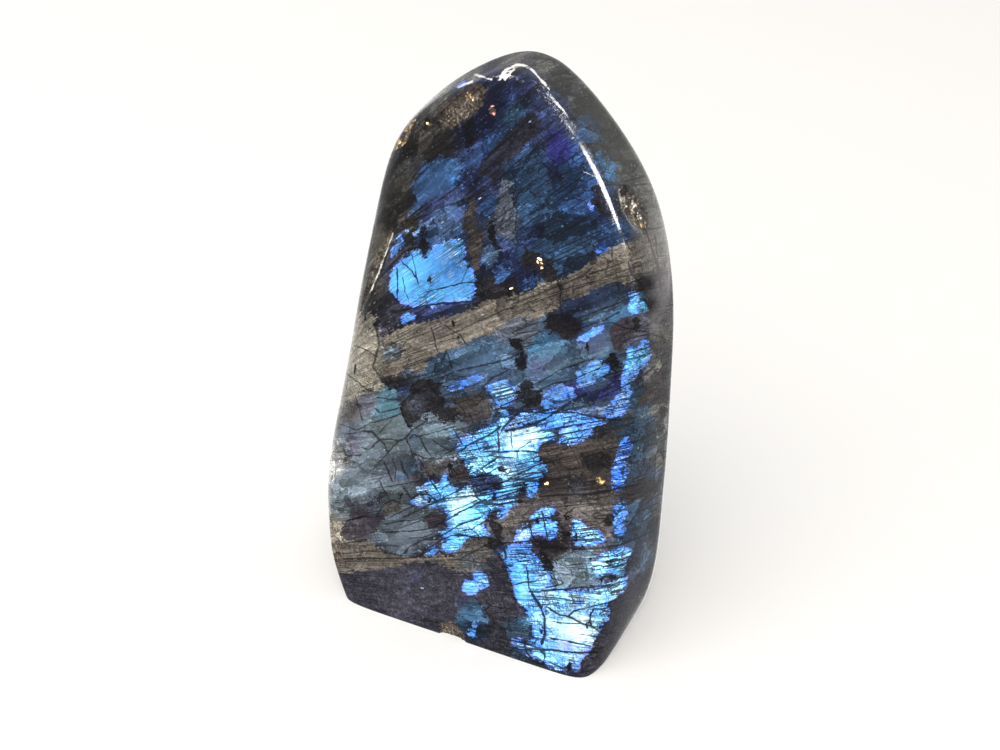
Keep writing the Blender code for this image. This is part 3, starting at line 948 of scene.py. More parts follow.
HEART = np.array((0, 0, HEART_HEIGHT), float)
FACE_NORMALS = np.array([outward(azimuth, elevation) for _, azimuth, elevation, _ in FACES])
FACE_DISTANCES = np.array([distance for *_, distance in FACES], float)


def gauge(points):
    """How far out each point lies: under 1 inside the stone, 1 on its surface."""
    reach = np.clip((points - HEART) @ FACE_NORMALS.T / FACE_DISTANCES, 0, None)
    return (reach**EDGE_SHARPNESS).sum(axis=1) ** (1 / EDGE_SHARPNESS)


def pulled_onto_stone(points):
    """Each point moved straight to or from the spine until it lies on the stone's surface."""
    spine = np.zeros_like(points)
    spine[:, 2] = np.minimum(points[:, 2], SPINE_TOP)
    ray = points - spine
    inside = np.zeros(len(points))
    outside = np.full(len(points), PULL_REACH)
    for _ in range(PULL_STEPS):
        middle = (inside + outside) / 2
        within = gauge(spine + ray * middle[:, None]) < 1
        inside = np.where(within, middle, inside)
        outside = np.where(within, outside, middle)
    waves = [noise.noise(Vector(point) / WAVE_LENGTH) for point in spine + ray * inside[:, None]]
    reach = inside + WAVE_HEIGHT * np.array(waves) / np.linalg.norm(ray, axis=1)
    return spine + ray * reach[:, None]


def surface_normals(points):
    """The smooth stone's outward normals."""
    slope = np.zeros_like(points)
    for axis in range(3):
        offset = np.zeros(3)
        offset[axis] = NORMAL_STEP
        slope[:, axis] = gauge(points + offset) - gauge(points - offset)
    return slope / np.linalg.norm(slope, axis=1)[:, None]


def block_side(fixed, at, cells):
    """One side of the block as points and quads, low (at is 0) or high (at is 1) along its fixed axis."""
    first, second = [axis for axis in range(3) if axis != fixed]
    rows, columns = cells[first] + 1, cells[second] + 1
    points = np.zeros((rows, columns, 3))
    points[..., fixed] = at
    points[..., first] = (np.arange(rows) / cells[first])[:, None]
    points[..., second] = (np.arange(columns) / cells[second])[None, :]
    index = np.arange(rows * columns).reshape(rows, columns)
    corners = (index[:-1, :-1], index[1:, :-1], index[1:, 1:], index[:-1, 1:])
    quads = np.stack(corners, axis=-1).reshape(-1, 4)
    turned = (at == 1) == (fixed == 1)
    return points.reshape(-1, 3), quads[:, ::-1] if turned else quads


def block_mesh():
    """The block's five sides as one welded bmesh on z = 0, open underneath, with a finer front."""
    sides = ((0, 0), (0, 1), (1, 0), (1, 1), (2, 1))
    points, quads, start = [], [], 0
    for fixed, at in sides:
        side_points, side_quads = block_side(fixed, at, BLOCK_CELLS)
        points.append(side_points)
        quads.append(side_quads + start)
        start += len(side_points)
    points = np.concatenate(points)
    whole = np.round(points * np.array(BLOCK_CELLS)).astype(int)
    _, first, weld = np.unique(whole, axis=0, return_index=True, return_inverse=True)
    size = np.array(BLOCK_SIZE, float)
    places = (points[first] - (0.5, 0.5, 0)) * size
    mesh = bpy.data.meshes.new("stone_surface")
    mesh.from_pydata(places.tolist(), [], weld.reshape(-1)[np.concatenate(quads)].tolist())
    bm = bmesh.new()
    bm.from_mesh(mesh)
    bpy.data.meshes.remove(mesh)
    bmesh.ops.recalc_face_normals(bm, faces=bm.faces)
    front = -size[1] / 2 + 0.01
    edges = [edge for edge in bm.edges if all(vert.co.y < front for vert in edge.verts)]
    bmesh.ops.subdivide_edges(bm, edges=edges, cuts=1, use_grid_fill=True)
    return bm


def chip_frame(azimuth, elevation, lean):
    """A chip's seat on the surface, and its unit directions along, across and out of the stone."""
    ray = np.array([outward(azimuth, elevation)]) * BLOCK_SIZE[2]
    seat = HEART + ray[0] / gauge(HEART + ray)[0]
    normal = Vector(surface_normals(seat[None])[0])
    level = Vector((0, 0, 1)).cross(normal).normalized()
    rising = normal.cross(level)
    along = rising * math.cos(math.radians(lean)) + level * math.sin(math.radians(lean))
    return seat, along, normal.cross(along), normal


def unevenness(points, layers):
    """The sum of these layers of smooth noise at each point: strength, size in mm and offset of each."""
    total = np.zeros(len(points))
    for strength, size, offset in layers:
        shift = Vector((offset, offset * 0.7, offset * 1.3))
        total += strength * np.array([noise.noise(Vector(point) / size + shift) for point in points])
    return total


def chip_depth(points, chip):
    """How deep each point lies in this chip, in mm, and how surely it is in it, from 0 to 1."""
    _, azimuth, elevation, length, width, depth, lean = chip
    seat, along, across, normal = chip_frame(azimuth, elevation, lean)
    offset = points - seat
    radius = np.sqrt((offset @ along / (length / 2)) ** 2 + (offset @ across / (width / 2)) ** 2)
    near = (radius < CHIP_REACH) & (np.abs(offset @ normal) < CHIP_SEAT_HEIGHT)
    found, inside = np.zeros(len(points)), np.zeros(len(points))
    ragged = radius[near] + unevenness(points[near], CHIP_EDGE)
    bowl = np.sqrt(np.clip(1 - ragged**2, 0, None))
    rubble = 1 + unevenness(points[near], CHIP_BOTTOM)
    found[near] = depth * bowl * np.clip(rubble, *CHIP_ROUGHNESS)
    inside[near] = np.clip((CHIP_RIM - ragged) / CHIP_RIM_WIDTH, 0, 1)
    return found, inside


def linear(tone):
    """A named tone as scene-linear red, green and blue."""
    share = np.array(TONES[tone]) / 255
    return np.where(share <= 0.04045, share / 12.92, ((share + 0.055) / 1.055) ** 2.4)


def every(groups):
    """All the entries of a table that is kept by region."""
    return [entry for group in groups.values() for entry in group]


def places_in(text):
    """The places in a text of x,y pairs."""
    return np.array([place.split(",") for place in text.split()], float)


def smooth(share):
    """A share from 0 to 1 with soft ends."""
    share = np.clip(share, 0, 1)
    return share * share * (3 - 2 * share)


def camera_axes():
    """The camera's place and its unit directions to the right, upwards and backwards."""
    back = outward(CAMERA_AZIMUTH, CAMERA_ELEVATION)
    level = Vector((0, 0, 1)).cross(back).normalized()
    turn = Matrix.Rotation(math.radians(-CAMERA_ROLL), 3, back)
    right = turn.transposed() @ level
    return CAMERA_TARGET + back * CAMERA_DISTANCE, right, back.cross(right), back


def photo_places(points):
    """Where each point shows in the photograph, in pixels from its upper left corner."""
    eye, right, up, back = (np.array(part) for part in camera_axes())
    offset = points - eye
    scale = LENS / SENSOR * FRAME_WIDTH / -(offset @ back)
    across = FRAME_WIDTH / 2 + scale * (offset @ right)
    down = FRAME_HEIGHT / 2 - scale * (offset @ up)
    return np.stack([across, down], axis=1)


def unrolled_places(points):
    """Each point's (u, z) on the unrolled sides and back."""
    corner = np.clip(points[:, 0] / CORNER_X, -1, 1)
    depth = np.clip(CORNER_Y - points[:, 1], 0, None)
    return np.stack([points[:, 0] + corner * depth, points[:, 2]], axis=1)


def segment_distances(places, start, end):
    """The distance from each place to the segment, and on which side of it the place lies."""
    along = end - start
    share = np.clip((places - start) @ along / (along @ along), 0, 1)
    offset = places - start - share[:, None] * along
    side = np.sign(along[0] * offset[:, 1] - along[1] * offset[:, 0])
    return np.hypot(offset[:, 0], offset[:, 1]), np.where(side == 0, 1, side)


def signed_distance(places, corners):
    """How far inside the closed outline each place lies, below 0 outside it."""
    nearest = np.full(len(places), np.inf)
    inside = np.zeros(len(places), bool)
    for start, end in zip(corners, np.roll(corners, -1, axis=0)):
        distance, _ = segment_distances(places, start, end)
        nearest = np.minimum(nearest, distance)
        crosses = (start[1] > places[:, 1]) != (end[1] > places[:, 1])
        rise = end[1] - start[1] if end[1] != start[1] else 1
        at = start[0] + (places[:, 1] - start[1]) * (end[0] - start[0]) / rise
        inside ^= crosses & (places[:, 0] < at)
    return np.where(inside, nearest, -nearest)


def layer_fields(places, outlines, unit):
    """A layer's edge distance in mm and its tone at each place. unit is the places' size in mm."""
    edge = np.full(len(places), -EDGE_LIMIT)
    tone = np.zeros((len(places), 3))
    weight = np.full(len(places), 1e-9)
    margin = EDGE_LIMIT / unit
    for name, outline in outlines.values():
        corners = places_in(outline)
        low, high = corners.min(axis=0) - margin, corners.max(axis=0) + margin
        near = ((places > low) & (places < high)).all(axis=1)
        distance = np.clip(signed_distance(places[near], corners) * unit, -EDGE_LIMIT, EDGE_LIMIT)
        edge[near] = np.maximum(edge[near], distance)
        share = np.exp(distance / TONE_BLEND)
        tone[near] += share[:, None] * linear(name)
        weight[near] += share
    return edge, tone / weight[:, None]


def spot_distance(places, x, y, reach):
    """The square of each place's distance from a spot, where the spot's reach is 1."""
    return ((places[:, 0] - x) ** 2 + (places[:, 1] - y) ** 2) / reach**2


def ground_tone(places, spots):
    """The ground's tone at each place, blended from the spots around it."""
    tone = np.zeros((len(places), 3))
    weight = np.zeros(len(places))
    for name, x, y, reach in every(spots):
        share = 1 / (GROUND_HOLD + spot_distance(places, x, y, reach) ** GROUND_FADE)
        tone += share[:, None] * linear(name)
        weight += share
    return tone / weight[:, None]


def add_glows(tone, places, glows):
    """Lays each soft spot of light or shade over the tone."""
    for name, x, y, reach, strength in every(glows):
        share = strength * np.exp(-spot_distance(places, x, y, reach))
        tone += share[:, None] * (linear(name) - tone)
    return tone


def soft_spots(places, spots):
    """How near each place lies to the nearest of the spots, from 0 to 1."""
    return np.max([np.exp(-spot_distance(places, *spot)) for spot in every(spots)], axis=0)


def lamella_places(points):
    """Coordinates in mm along, across and through the thin layers that the stone streaks along."""
    across = points[:, 2].copy()
    for _ in range(LAMELLA_STEPS):
        slope = np.radians(np.interp(across, LAMELLA_HEIGHTS, LAMELLA_SLOPES))
        across = points[:, 2] - np.tan(slope) * points[:, 0] - LAMELLA_DIP * points[:, 1]
    along = points[:, 0] * np.cos(slope) + points[:, 2] * np.sin(slope)
    return np.stack([along, across, points[:, 1]], axis=1)


def spread(line):
    """Places every few pixels along a crack."""
    found = [line[:1]]
    for start, end in zip(line, line[1:]):
        steps = max(2, int(np.hypot(*(end - start)) / CRACK_STEP))
        found.append(start + (end - start) * (np.arange(1, steps + 1) / steps)[:, None])
    return np.concatenate(found)


def shared_out(lines, channels):
    """The lines' numbers in a list for each channel, so that close neighbours don't share one."""
    groups = [[] for _ in range(channels)]
    places = [spread(line) for line in lines]
    for index, here in enumerate(places):
        room = []
        for group in groups:
            gaps = [np.abs(here[:, None] - places[other][None]).max(axis=2).min() for other in group]
            room.append(min(gaps, default=np.inf))
        groups[int(np.argmax(room))].append(index)
    return groups


def crack_fields(places, cracks, channels):
    """For each channel the signed and plain distance to its nearest crack, and its half-width, in mm."""
    widths = [half_width * MM_PER_PIXEL for half_width, _ in every(cracks)]
    lines = [places_in(text) for _, text in every(cracks)]
    fields = []
    for group in shared_out(lines, channels):
        field = np.zeros((len(places), 3))
        field[:, 1] = np.inf
        for index in group:
            line = lines[index]
            for start, end in zip(line, line[1:]):
                distance, side = segment_distances(places, start, end)
                distance = distance * MM_PER_PIXEL
                nearer = distance < field[:, 1] - 1e-6
                found = np.stack([side * distance, distance, np.full(len(places), widths[index])], axis=1)
                field[nearer] = found[nearer]
        fields.append(np.clip(field, -EDGE_LIMIT, EDGE_LIMIT))
    return fields


class Wiring:
    """Adds nodes to a material or a world and joins them."""

    def __init__(self, owner):
        self.tree = owner.node_tree

    def node(self, kind, **settings):
        made = self.tree.nodes.new(kind)
        for name, value in settings.items():
            setattr(made, name, value)
        return made

    def feed(self, socket, value):
        """Joins an output to the socket, or sets a plain value on it."""
        if isinstance(value, bpy.types.NodeSocket):
            self.tree.links.new(value, socket)
        else:
            socket.default_value = value

    def math(self, operation, first, second=0.0, third=0.0, clamp=False):
        made = self.node("ShaderNodeMath", operation=operation, use_clamp=clamp)
        for socket, value in zip(made.inputs, (first, second, third)):
            self.feed(socket, value)
        return made.outputs[0]

    def times(self, first, *others):
        for other in others:
            first = self.math("MULTIPLY", first, other)
        return first

    def largest(self, first, *others):
        for other in others:
            first = self.math("MAXIMUM", first, other)
        return first

    def off_middle(self, value):
        return self.math("SUBTRACT", value, 0.5)

    def vector(self, operation, first, second):
        made = self.node("ShaderNodeVectorMath", operation=operation)
        self.feed(made.inputs[0], first)
        self.feed(made.inputs[1], second)
        return made.outputs[0]

    def moved(self, vector, x, y, z):
        return self.vector("ADD", vector, (x, y, z))

    def scaled(self, color, factor):
        """The colour or vector times the factor."""
        made = self.node("ShaderNodeVectorMath", operation="SCALE")
        self.feed(made.inputs[0], color)
        self.feed(made.inputs["Scale"], factor)
        return made.outputs[0]

    def split(self, vector, axis):
        made = self.node("ShaderNodeSeparateXYZ")
        self.feed(made.inputs[0], vector)
        return made.outputs[axis]

    def attribute(self, name, output="Fac"):
        made = self.node("ShaderNodeAttribute", attribute_name=name)
        return made.outputs[output]

    def noise(self, place, scale, detail=2.0, roughness=0.5, output="Fac"):
        made = self.node("ShaderNodeTexNoise", noise_dimensions="3D")
        self.feed(made.inputs["Vector"], place)
        self.feed(made.inputs["Scale"], scale)
        self.feed(made.inputs["Detail"], detail)
        self.feed(made.inputs["Roughness"], roughness)
        return made.outputs[output]

    def cells(self, place, scale, output="Distance", feature="F1"):
        made = self.node("ShaderNodeTexVoronoi", feature=feature)
        self.feed(made.inputs["Vector"], place)
        self.feed(made.inputs["Scale"], scale)
        return made.outputs[output]

    def cell_edges(self, place, scale):
        return self.cells(place, scale, feature="DISTANCE_TO_EDGE")

    def ramp(self, value, low, high, start=0.0, end=1.0):
        """A smooth step from start at low to end at high."""
        made = self.node("ShaderNodeMapRange", interpolation_type="SMOOTHSTEP")
        self.feed(made.inputs["Value"], value)
        limits = (("From Min", low), ("From Max", high), ("To Min", start), ("To Max", end))
        for name, number in limits:
            self.feed(made.inputs[name], number)
        return made.outputs["Result"]

    def fall(self, value, low, high):
        """A smooth step down from 1 at low to 0 at high."""
        return self.ramp(value, low, high, 1.0, 0.0)

    def mix(self, share, first, second):
        """The first colour with this share of the second. A colour may be a tone's name."""
        made = self.node("ShaderNodeMix", data_type="RGBA")
        self.feed(made.inputs["Factor"], share)
        for name, value in (("A_Color", first), ("B_Color", second)):
            socket = next(one for one in made.inputs if one.identifier == name)
            value = tuple(linear(value).tolist()) if isinstance(value, str) else value
            self.feed(socket, (*value, 1.0) if isinstance(value, tuple) else value)
        return next(one for one in made.outputs if one.identifier == "Result_Color")

    def hairlines(self, place, scale, levels, half_width, step=ALONG):
        """Lines of an even half-width in mm, where a noise passes each of its evenly spaced levels."""
        here = self.noise(place, scale, 1.0)
        ahead = self.noise(self.vector("ADD", place, step), scale, 1.0)
        slope = self.math("DIVIDE", self.math("ABSOLUTE", self.math("SUBTRACT", ahead, here)), sum(step))
        phase = self.math("FRACT", self.times(here, levels))
        away = self.math("DIVIDE", self.math("ABSOLUTE", self.off_middle(phase)), levels)
        distance = self.math("DIVIDE", away, self.largest(slope, 0.01))
        share = self.math("DIVIDE", distance, self.largest(half_width, 0.001))
        return self.fall(share, 0.55, 1.35)


class StoneWiring(Wiring):
    """Wiring for the stone, with the places, the unevenness and the patches that its looks share."""

    def __init__(self, material):
        super().__init__(material)
        self.place = self.scaled(self.node("ShaderNodeTexCoord").outputs["Object"], 1 / MM)
        self.lamella = self.attribute("lamella", "Vector")
        self.streaks = self.vector("MULTIPLY", self.lamella, STREAK_SHAPE)
        self.crossways = self.vector("MULTIPLY", self.lamella, TICK_SHAPE)
        self.shards = self.vector("MULTIPLY", self.lamella, SHARD_SHAPE)
        self.swirl = self.noise(self.place, 0.9, output="Color")
        calm = self.attribute("calm")
        self.unrest = self.math("MULTIPLY_ADD", calm, -0.8, 1.0)
        self.restless = self.math("MULTIPLY_ADD", calm, -0.6, 1.0)

        shard_seat = self.vector("ADD", self.shards, self.scaled(self.swirl, 0.8))
        plate_place = self.vector("MULTIPLY", self.lamella, PLATE_SHAPE)
        plate_seat = self.vector("ADD", plate_place, self.scaled(self.swirl, 2.4))
        self.shard_edge = self.cell_edges(shard_seat, SHARD_SCALE)
        self.plate_edge = self.cell_edges(plate_seat, PLATE_SCALE)
        self.lumps = self.noise(self.place, 0.42, 3.0, 0.6)
        self.blotch = self.noise(self.place, 1.0, 3.0, 0.62)
        self.grain = self.noise(self.place, 2.2, 1.5, 0.6)
        self.broad = self.noise(self.streaks, 0.6)
        self.fine = self.noise(self.streaks, 2.0, 1.0)
        self.mottle = self.noise(self.shards, 0.7, 4.0, 0.62)
        self.shard = self.split(self.cells(shard_seat, SHARD_SCALE, "Color"), 0)
        self.plate = self.split(self.cells(plate_seat, PLATE_SCALE, "Color"), 0)
        self.draw_patches()

    def summed(self, strengths):
        """The sum of these kinds of unevenness, each by how strongly it counts."""
        total = 0.0
        for name, strength in strengths.items():
            total = self.math("MULTIPLY_ADD", self.off_middle(getattr(self, name)), strength, total)
        return total

    def varied(self, strengths, amount=1.0):
        """A brightness around 1 from these kinds of unevenness."""
        return self.math("EXPONENT", self.times(self.summed(strengths), amount))

    def draw_patches(self):
        """Each layer's share. Its patches end raggedly, in small steps and bays."""
        grain = self.ramp(self.lumps, 0.42, 0.62, 0.3, 3.0)
        ragged = self.math("MULTIPLY_ADD", self.off_middle(self.grain), grain, self.summed(RAGGED))
        ragged = self.times(ragged, self.restless)
        softness = self.ramp(self.lumps, 0.38, 0.62, 0.06, 0.22)
        softnesses = {
            "panel": self.math("ADD", softness, 0.35),
            "flash": softness,
            "matrix": softness,
            "dark": self.times(softness, 0.8),
            "gold": 0.08,
        }
        self.edge, self.share = {}, {}
        for layer, soft in softnesses.items():
            edge = self.math("MULTIPLY_ADD", ragged, RAGGEDNESS[layer], self.attribute(f"{layer}_edge"))
            self.edge[layer] = edge
            self.share[layer] = self.ramp(edge, self.times(soft, -1.0), soft)

    def tone(self, layer):
        return self.attribute(f"{layer}_tone", "Color")

    def drawn(self, name):
        """A drawn line's share here, a little wavy, from the distances stored for it."""
        field = self.attribute(name, "Vector")
        wiggle = self.math("ADD", self.split(field, 0), self.summed({"blotch": 0.5, "mottle": 0.5}))
        width = self.times(self.split(field, 2), self.ramp(self.lumps, 0.35, 0.6, 0.7, 1.5))
        share = self.math("DIVIDE", self.math("ABSOLUTE", wiggle), self.largest(width, 0.01))
        near = self.fall(self.split(field, 1), 0.34, 0.60)
        return self.times(self.fall(share, 0.6, 1.3), near)


def layer_cracks(w):
    """Cracks along the layers, and short ticks across them."""
    busy = w.ramp(w.noise(w.place, 0.16), 0.40, 0.60)
    sparse = w.ramp(w.noise(w.moved(w.place, 40.0, 0.0, 9.0), 0.17), 0.46, 0.60)
    wide = w.hairlines(w.streaks, 0.26, 7.0, w.times(busy, 0.17))
    thin = w.hairlines(w.moved(w.streaks, 7.0, 3.0, 1.0), 0.5, 9.0, w.ramp(sparse, 0.0, 1.0, 0.03, 0.11))
    tick_width = w.times(w.ramp(w.noise(w.place, 0.5, 1.0), 0.50, 0.60), 0.10)
    ticks = w.hairlines(w.crossways, 0.45, 8.0, tick_width, ACROSS)
    layers = w.hairlines(w.moved(w.streaks, 19.0, 23.0, 6.0), 0.8, 11.0, 0.10)
    layers = w.times(layers, w.ramp(w.blotch, 0.42, 0.60, 0.05, 0.55))
    layers = w.times(layers, w.math("MULTIPLY_ADD", w.share["matrix"], -0.75, 1.0))
    return w.largest(wide, w.times(thin, 0.8), w.times(ticks, 0.8), layers)


def shard_cracks(w):
    """The joints between shards and between plates, and the crackle inside them."""
    joints = w.times(w.fall(w.shard_edge, 0.014, 0.055), w.ramp(w.lumps, 0.38, 0.54, 0.3, 0.95))
    plates = w.times(w.fall(w.plate_edge, 0.008, 0.026), w.ramp(w.blotch, 0.36, 0.5, 0.35, 0.95))
    crackle_edge = w.cell_edges(w.vector("ADD", w.shards, w.scaled(w.swirl, 1.6)), 1.0)
    crackle = w.times(w.fall(crackle_edge, 0.03, 0.11), w.ramp(w.mottle, 0.46, 0.60, 0.0, 0.65))
    return w.largest(joints, plates, crackle)


def flash_cracks(w):
    """Fine hairs that cross the flash both ways."""
    width = w.ramp(w.math("ADD", w.lumps, w.times(w.broad, 0.5)), 0.66, 0.82, 0.0, 0.13)
    along = w.hairlines(w.moved(w.streaks, 3.0, 31.0, 8.0), 0.62, 11.0, width)
    across = w.hairlines(w.moved(w.crossways, 5.0, 2.0, 0.0), 0.5, 7.0, w.times(width, 0.5), ACROSS)
    return w.times(w.largest(along, across), w.share["flash"])


def all_cracks(w):
    cracks = w.times(w.largest(layer_cracks(w), shard_cracks(w), flash_cracks(w)), w.unrest)
    return w.largest(cracks, *(w.drawn(f"crack_{channel}") for channel in range(CRACK_CHANNELS)))


def shard_edge_highlights(w):
    """Painted highlights: bright lines beside the joints of some shards and plates."""
    shard_highlight = w.fall(w.math("ABSOLUTE", w.math("SUBTRACT", w.shard_edge, 0.085)), 0.0, 0.04)
    plate_highlight = w.fall(w.math("ABSOLUTE", w.math("SUBTRACT", w.plate_edge, 0.05)), 0.0, 0.03)
    shard_highlight = w.times(shard_highlight, w.ramp(w.math("ADD", w.shard, w.off_middle(w.mottle)), 0.5, 0.9))
    plate_highlight = w.times(plate_highlight, w.ramp(w.math("ADD", w.plate, w.off_middle(w.blotch)), 0.4, 0.8))
    return w.largest(shard_highlight, plate_highlight)


def black_flecks(w):
    """Black flecks, mostly upright."""
    upright = w.vector("MULTIPLY", w.place, FLECK_SHAPE)
    seat = w.vector("ADD", upright, w.scaled(w.noise(w.place, 1.6, 2.0, 0.6, "Color"), 1.3))
    size = w.off_middle(w.split(w.cells(seat, FLECK_SCALE, "Color"), 1))
    return w.fall(w.math("MULTIPLY_ADD", size, -0.38, w.cells(seat, FLECK_SCALE)), 0.0, 0.03)


def bright_specks(w):
    """Sparks of light, in crowds."""
    place = w.vector("MULTIPLY", w.lamella, SPECK_SHAPE)
    seat = w.cells(place, SPECK_SCALE, "Color")
    size = w.ramp(w.split(seat, 0), 0.60, 1.0, 0.0, 0.13)
    specks = w.fall(w.math("SUBTRACT", w.cells(place, SPECK_SCALE), size), -0.03, 0.03)
    room = w.ramp(w.noise(w.moved(w.place, 0.0, 17.0, 3.0), 0.3), 0.46, 0.56)
    return w.times(specks, w.ramp(w.split(seat, 1), 0.3, 1.0, 0.25, 1.0), room)


def body_color(w):
    """The ground and the panels: smooth fields of deep blue and grey, darker around the flash."""
    hue = w.vector("SUBTRACT", w.noise(w.place, 0.5, output="Color"), (0.5, 0.5, 0.5))
    tint = w.vector("ADD", w.scaled(hue, w.times(w.restless, TINT)), (1.0, 1.0, 1.0))
    light = w.varied(BODY_LIGHT, w.restless)
    body = w.mix(w.times(w.share["panel"], 0.9), w.tone("ground"), w.tone("panel"))
    color = w.scaled(w.vector("MULTIPLY", body, tint), light)
    near_flash = w.ramp(w.edge["flash"], -1.6, 0.4)
    shade = w.scaled(w.mix(0.5, "denim", "dark_indigo"), light)
    color = w.mix(w.times(near_flash, 0.4), color, shade)
    # Painted highlights beside the joints of shards and plates.
    color = w.mix(w.times(shard_edge_highlights(w), 0.35), color, w.scaled(color, 2.0))
    glints = w.hairlines(w.moved(w.streaks, 11.0, 5.0, 2.0), 0.7, 9.0, 0.12)
    glints = w.times(glints, w.ramp(w.grain, 0.55, 0.63), w.ramp(w.blotch, 0.50, 0.60), w.unrest)
    return w.mix(w.times(glints, 0.8), color, w.mix(0.2, w.scaled(body, 3.5), "ice"))


def flash_color(w):
    """The flash: bright and smooth in the middle, deeper blue to violet at its edge."""
    rim = w.ramp(w.math("MULTIPLY_ADD", w.off_middle(w.lumps), 3.0, w.edge["flash"]), 0.0, 0.9, 0.9, 0.0)
    rim_color = w.mix(w.ramp(w.mottle, 0.42, 0.58), "cobalt", "periwinkle")
    color = w.mix(rim, w.tone("flash"), rim_color)
    white = w.times(w.ramp(w.fine, 0.50, 0.64), w.ramp(w.lumps, 0.46, 0.60), w.unrest)
    color = w.mix(w.times(white, 0.4), color, "white_ice")
    color = w.mix(w.ramp(w.math("ADD", w.broad, w.mottle), 0.74, 0.86, 0.75, 0.0), color, "cobalt")
    light = w.varied(FLASH_LIGHT, w.restless)
    color = w.mix(w.ramp(light, 0.55, 1.05, 0.7, 0.0), color, "azure")
    return w.scaled(color, w.times(light, FLASH_GAIN))


def dark_color(w):
    """The dark crystals and the painted shade low on the right flank, with a grey speckle."""
    speckle = w.ramp(w.noise(w.place, 2.6, 1.0), 0.62, 0.74)
    return w.mix(w.times(speckle, 0.35), w.scaled(w.tone("dark"), w.varied(DARK_LIGHT)), "smoke")


def gold_color(w):
    """Golden rubble with brown between."""
    color = w.scaled(w.tone("gold"), w.varied(GOLD_LIGHT))
    return w.mix(w.fall(w.blotch, 0.50, 0.58), color, "umber")


def stone_color(w, cracks, flecks, chipped):
    """All the layers laid over each other, from the ground to the chips."""
    rock = w.scaled(w.tone("matrix"), w.varied(ROCK_LIGHT))
    rubble = w.scaled(w.mix(w.shard, "brown", "taupe"), w.varied(RUBBLE_LIGHT))
    crack_depth = w.ramp(w.largest(w.share["flash"], w.share["dark"]), 0.0, 1.0, 0.8, 0.96)
    # The drawn pale lines: scratches, and painted highlights on the crown, the brow and the pocket.
    scratches_and_highlights = w.times(w.drawn("scratch_and_highlight"), w.ramp(w.mottle, 0.38, 0.46, 0.3, 1.0))
    color = w.mix(w.share["flash"], body_color(w), flash_color(w))
    for share, over in (
        (w.times(w.share["matrix"], 0.95), rock),
        (w.times(w.share["dark"], 0.96), dark_color(w)),
        (w.times(cracks, crack_depth), "black"),
        (w.times(flecks, 0.95), "black"),
        (w.share["gold"], gold_color(w)),
        (w.times(bright_specks(w), 0.85), "white_ice"),
        (scratches_and_highlights, "frost"),
        (w.times(chipped, 0.55), rubble),
    ):
        color = w.mix(share, color, over)
    return color


def labradorite_material():
    """Polished labradorite under a clear gloss, which hairlines, flecks, chips and worn places break."""
    material = bpy.data.materials.new("labradorite")
    material.use_nodes = True
    material.node_tree.nodes.clear()
    w = StoneWiring(material)
    cracks, flecks, chipped = all_cracks(w), black_flecks(w), w.attribute("chipped")

    bump = w.node("ShaderNodeBump")
    waves = w.times(w.noise(w.place, 0.35), 0.5)
    w.feed(bump.inputs["Height"], w.math("MULTIPLY_ADD", w.largest(cracks, flecks), -0.5, waves))
    w.feed(bump.inputs["Strength"], BUMP_STRENGTH)
    w.feed(bump.inputs["Distance"], BUMP_HEIGHT)

    worn = w.largest(w.times(chipped, 0.7), w.attribute("dull"))
    crystals = w.largest(w.share["flash"], w.share["dark"])
    shader = w.node("ShaderNodeBsdfPrincipled")
    for name, value in (
        ("Base Color", stone_color(w, cracks, flecks, chipped)),
        ("Roughness", w.ramp(crystals, 0.0, 1.0, 0.55, 0.4)),
        ("Specular IOR Level", STONE_SPECULAR),
        ("Coat Weight", w.math("SUBTRACT", GLOSS_WEIGHT, worn, clamp=True)),
        ("Coat Roughness", GLOSS_ROUGHNESS),
        ("Coat IOR", GLOSS_IOR),
        ("Normal", bump.outputs[0]),
        ("Coat Normal", bump.outputs[0]),
    ):
        w.feed(shader.inputs[name], value)
    out = w.node("ShaderNodeOutputMaterial")
    w.feed(out.inputs["Surface"], shader.outputs[0])
    return material


def store(mesh, name, values, kind="FLOAT"):
    """Writes one value, vector or colour for each vertex."""
    key = {"FLOAT": "value", "FLOAT_VECTOR": "vector", "FLOAT_COLOR": "color"}[kind]
    if kind == "FLOAT_COLOR":
        values = np.concatenate([values, np.ones((len(values), 1))], axis=1)
    layer = mesh.attributes.new(name, kind, "POINT")
    layer.data.foreach_set(key, np.ascontiguousarray(values, dtype=np.float32).reshape(-1))


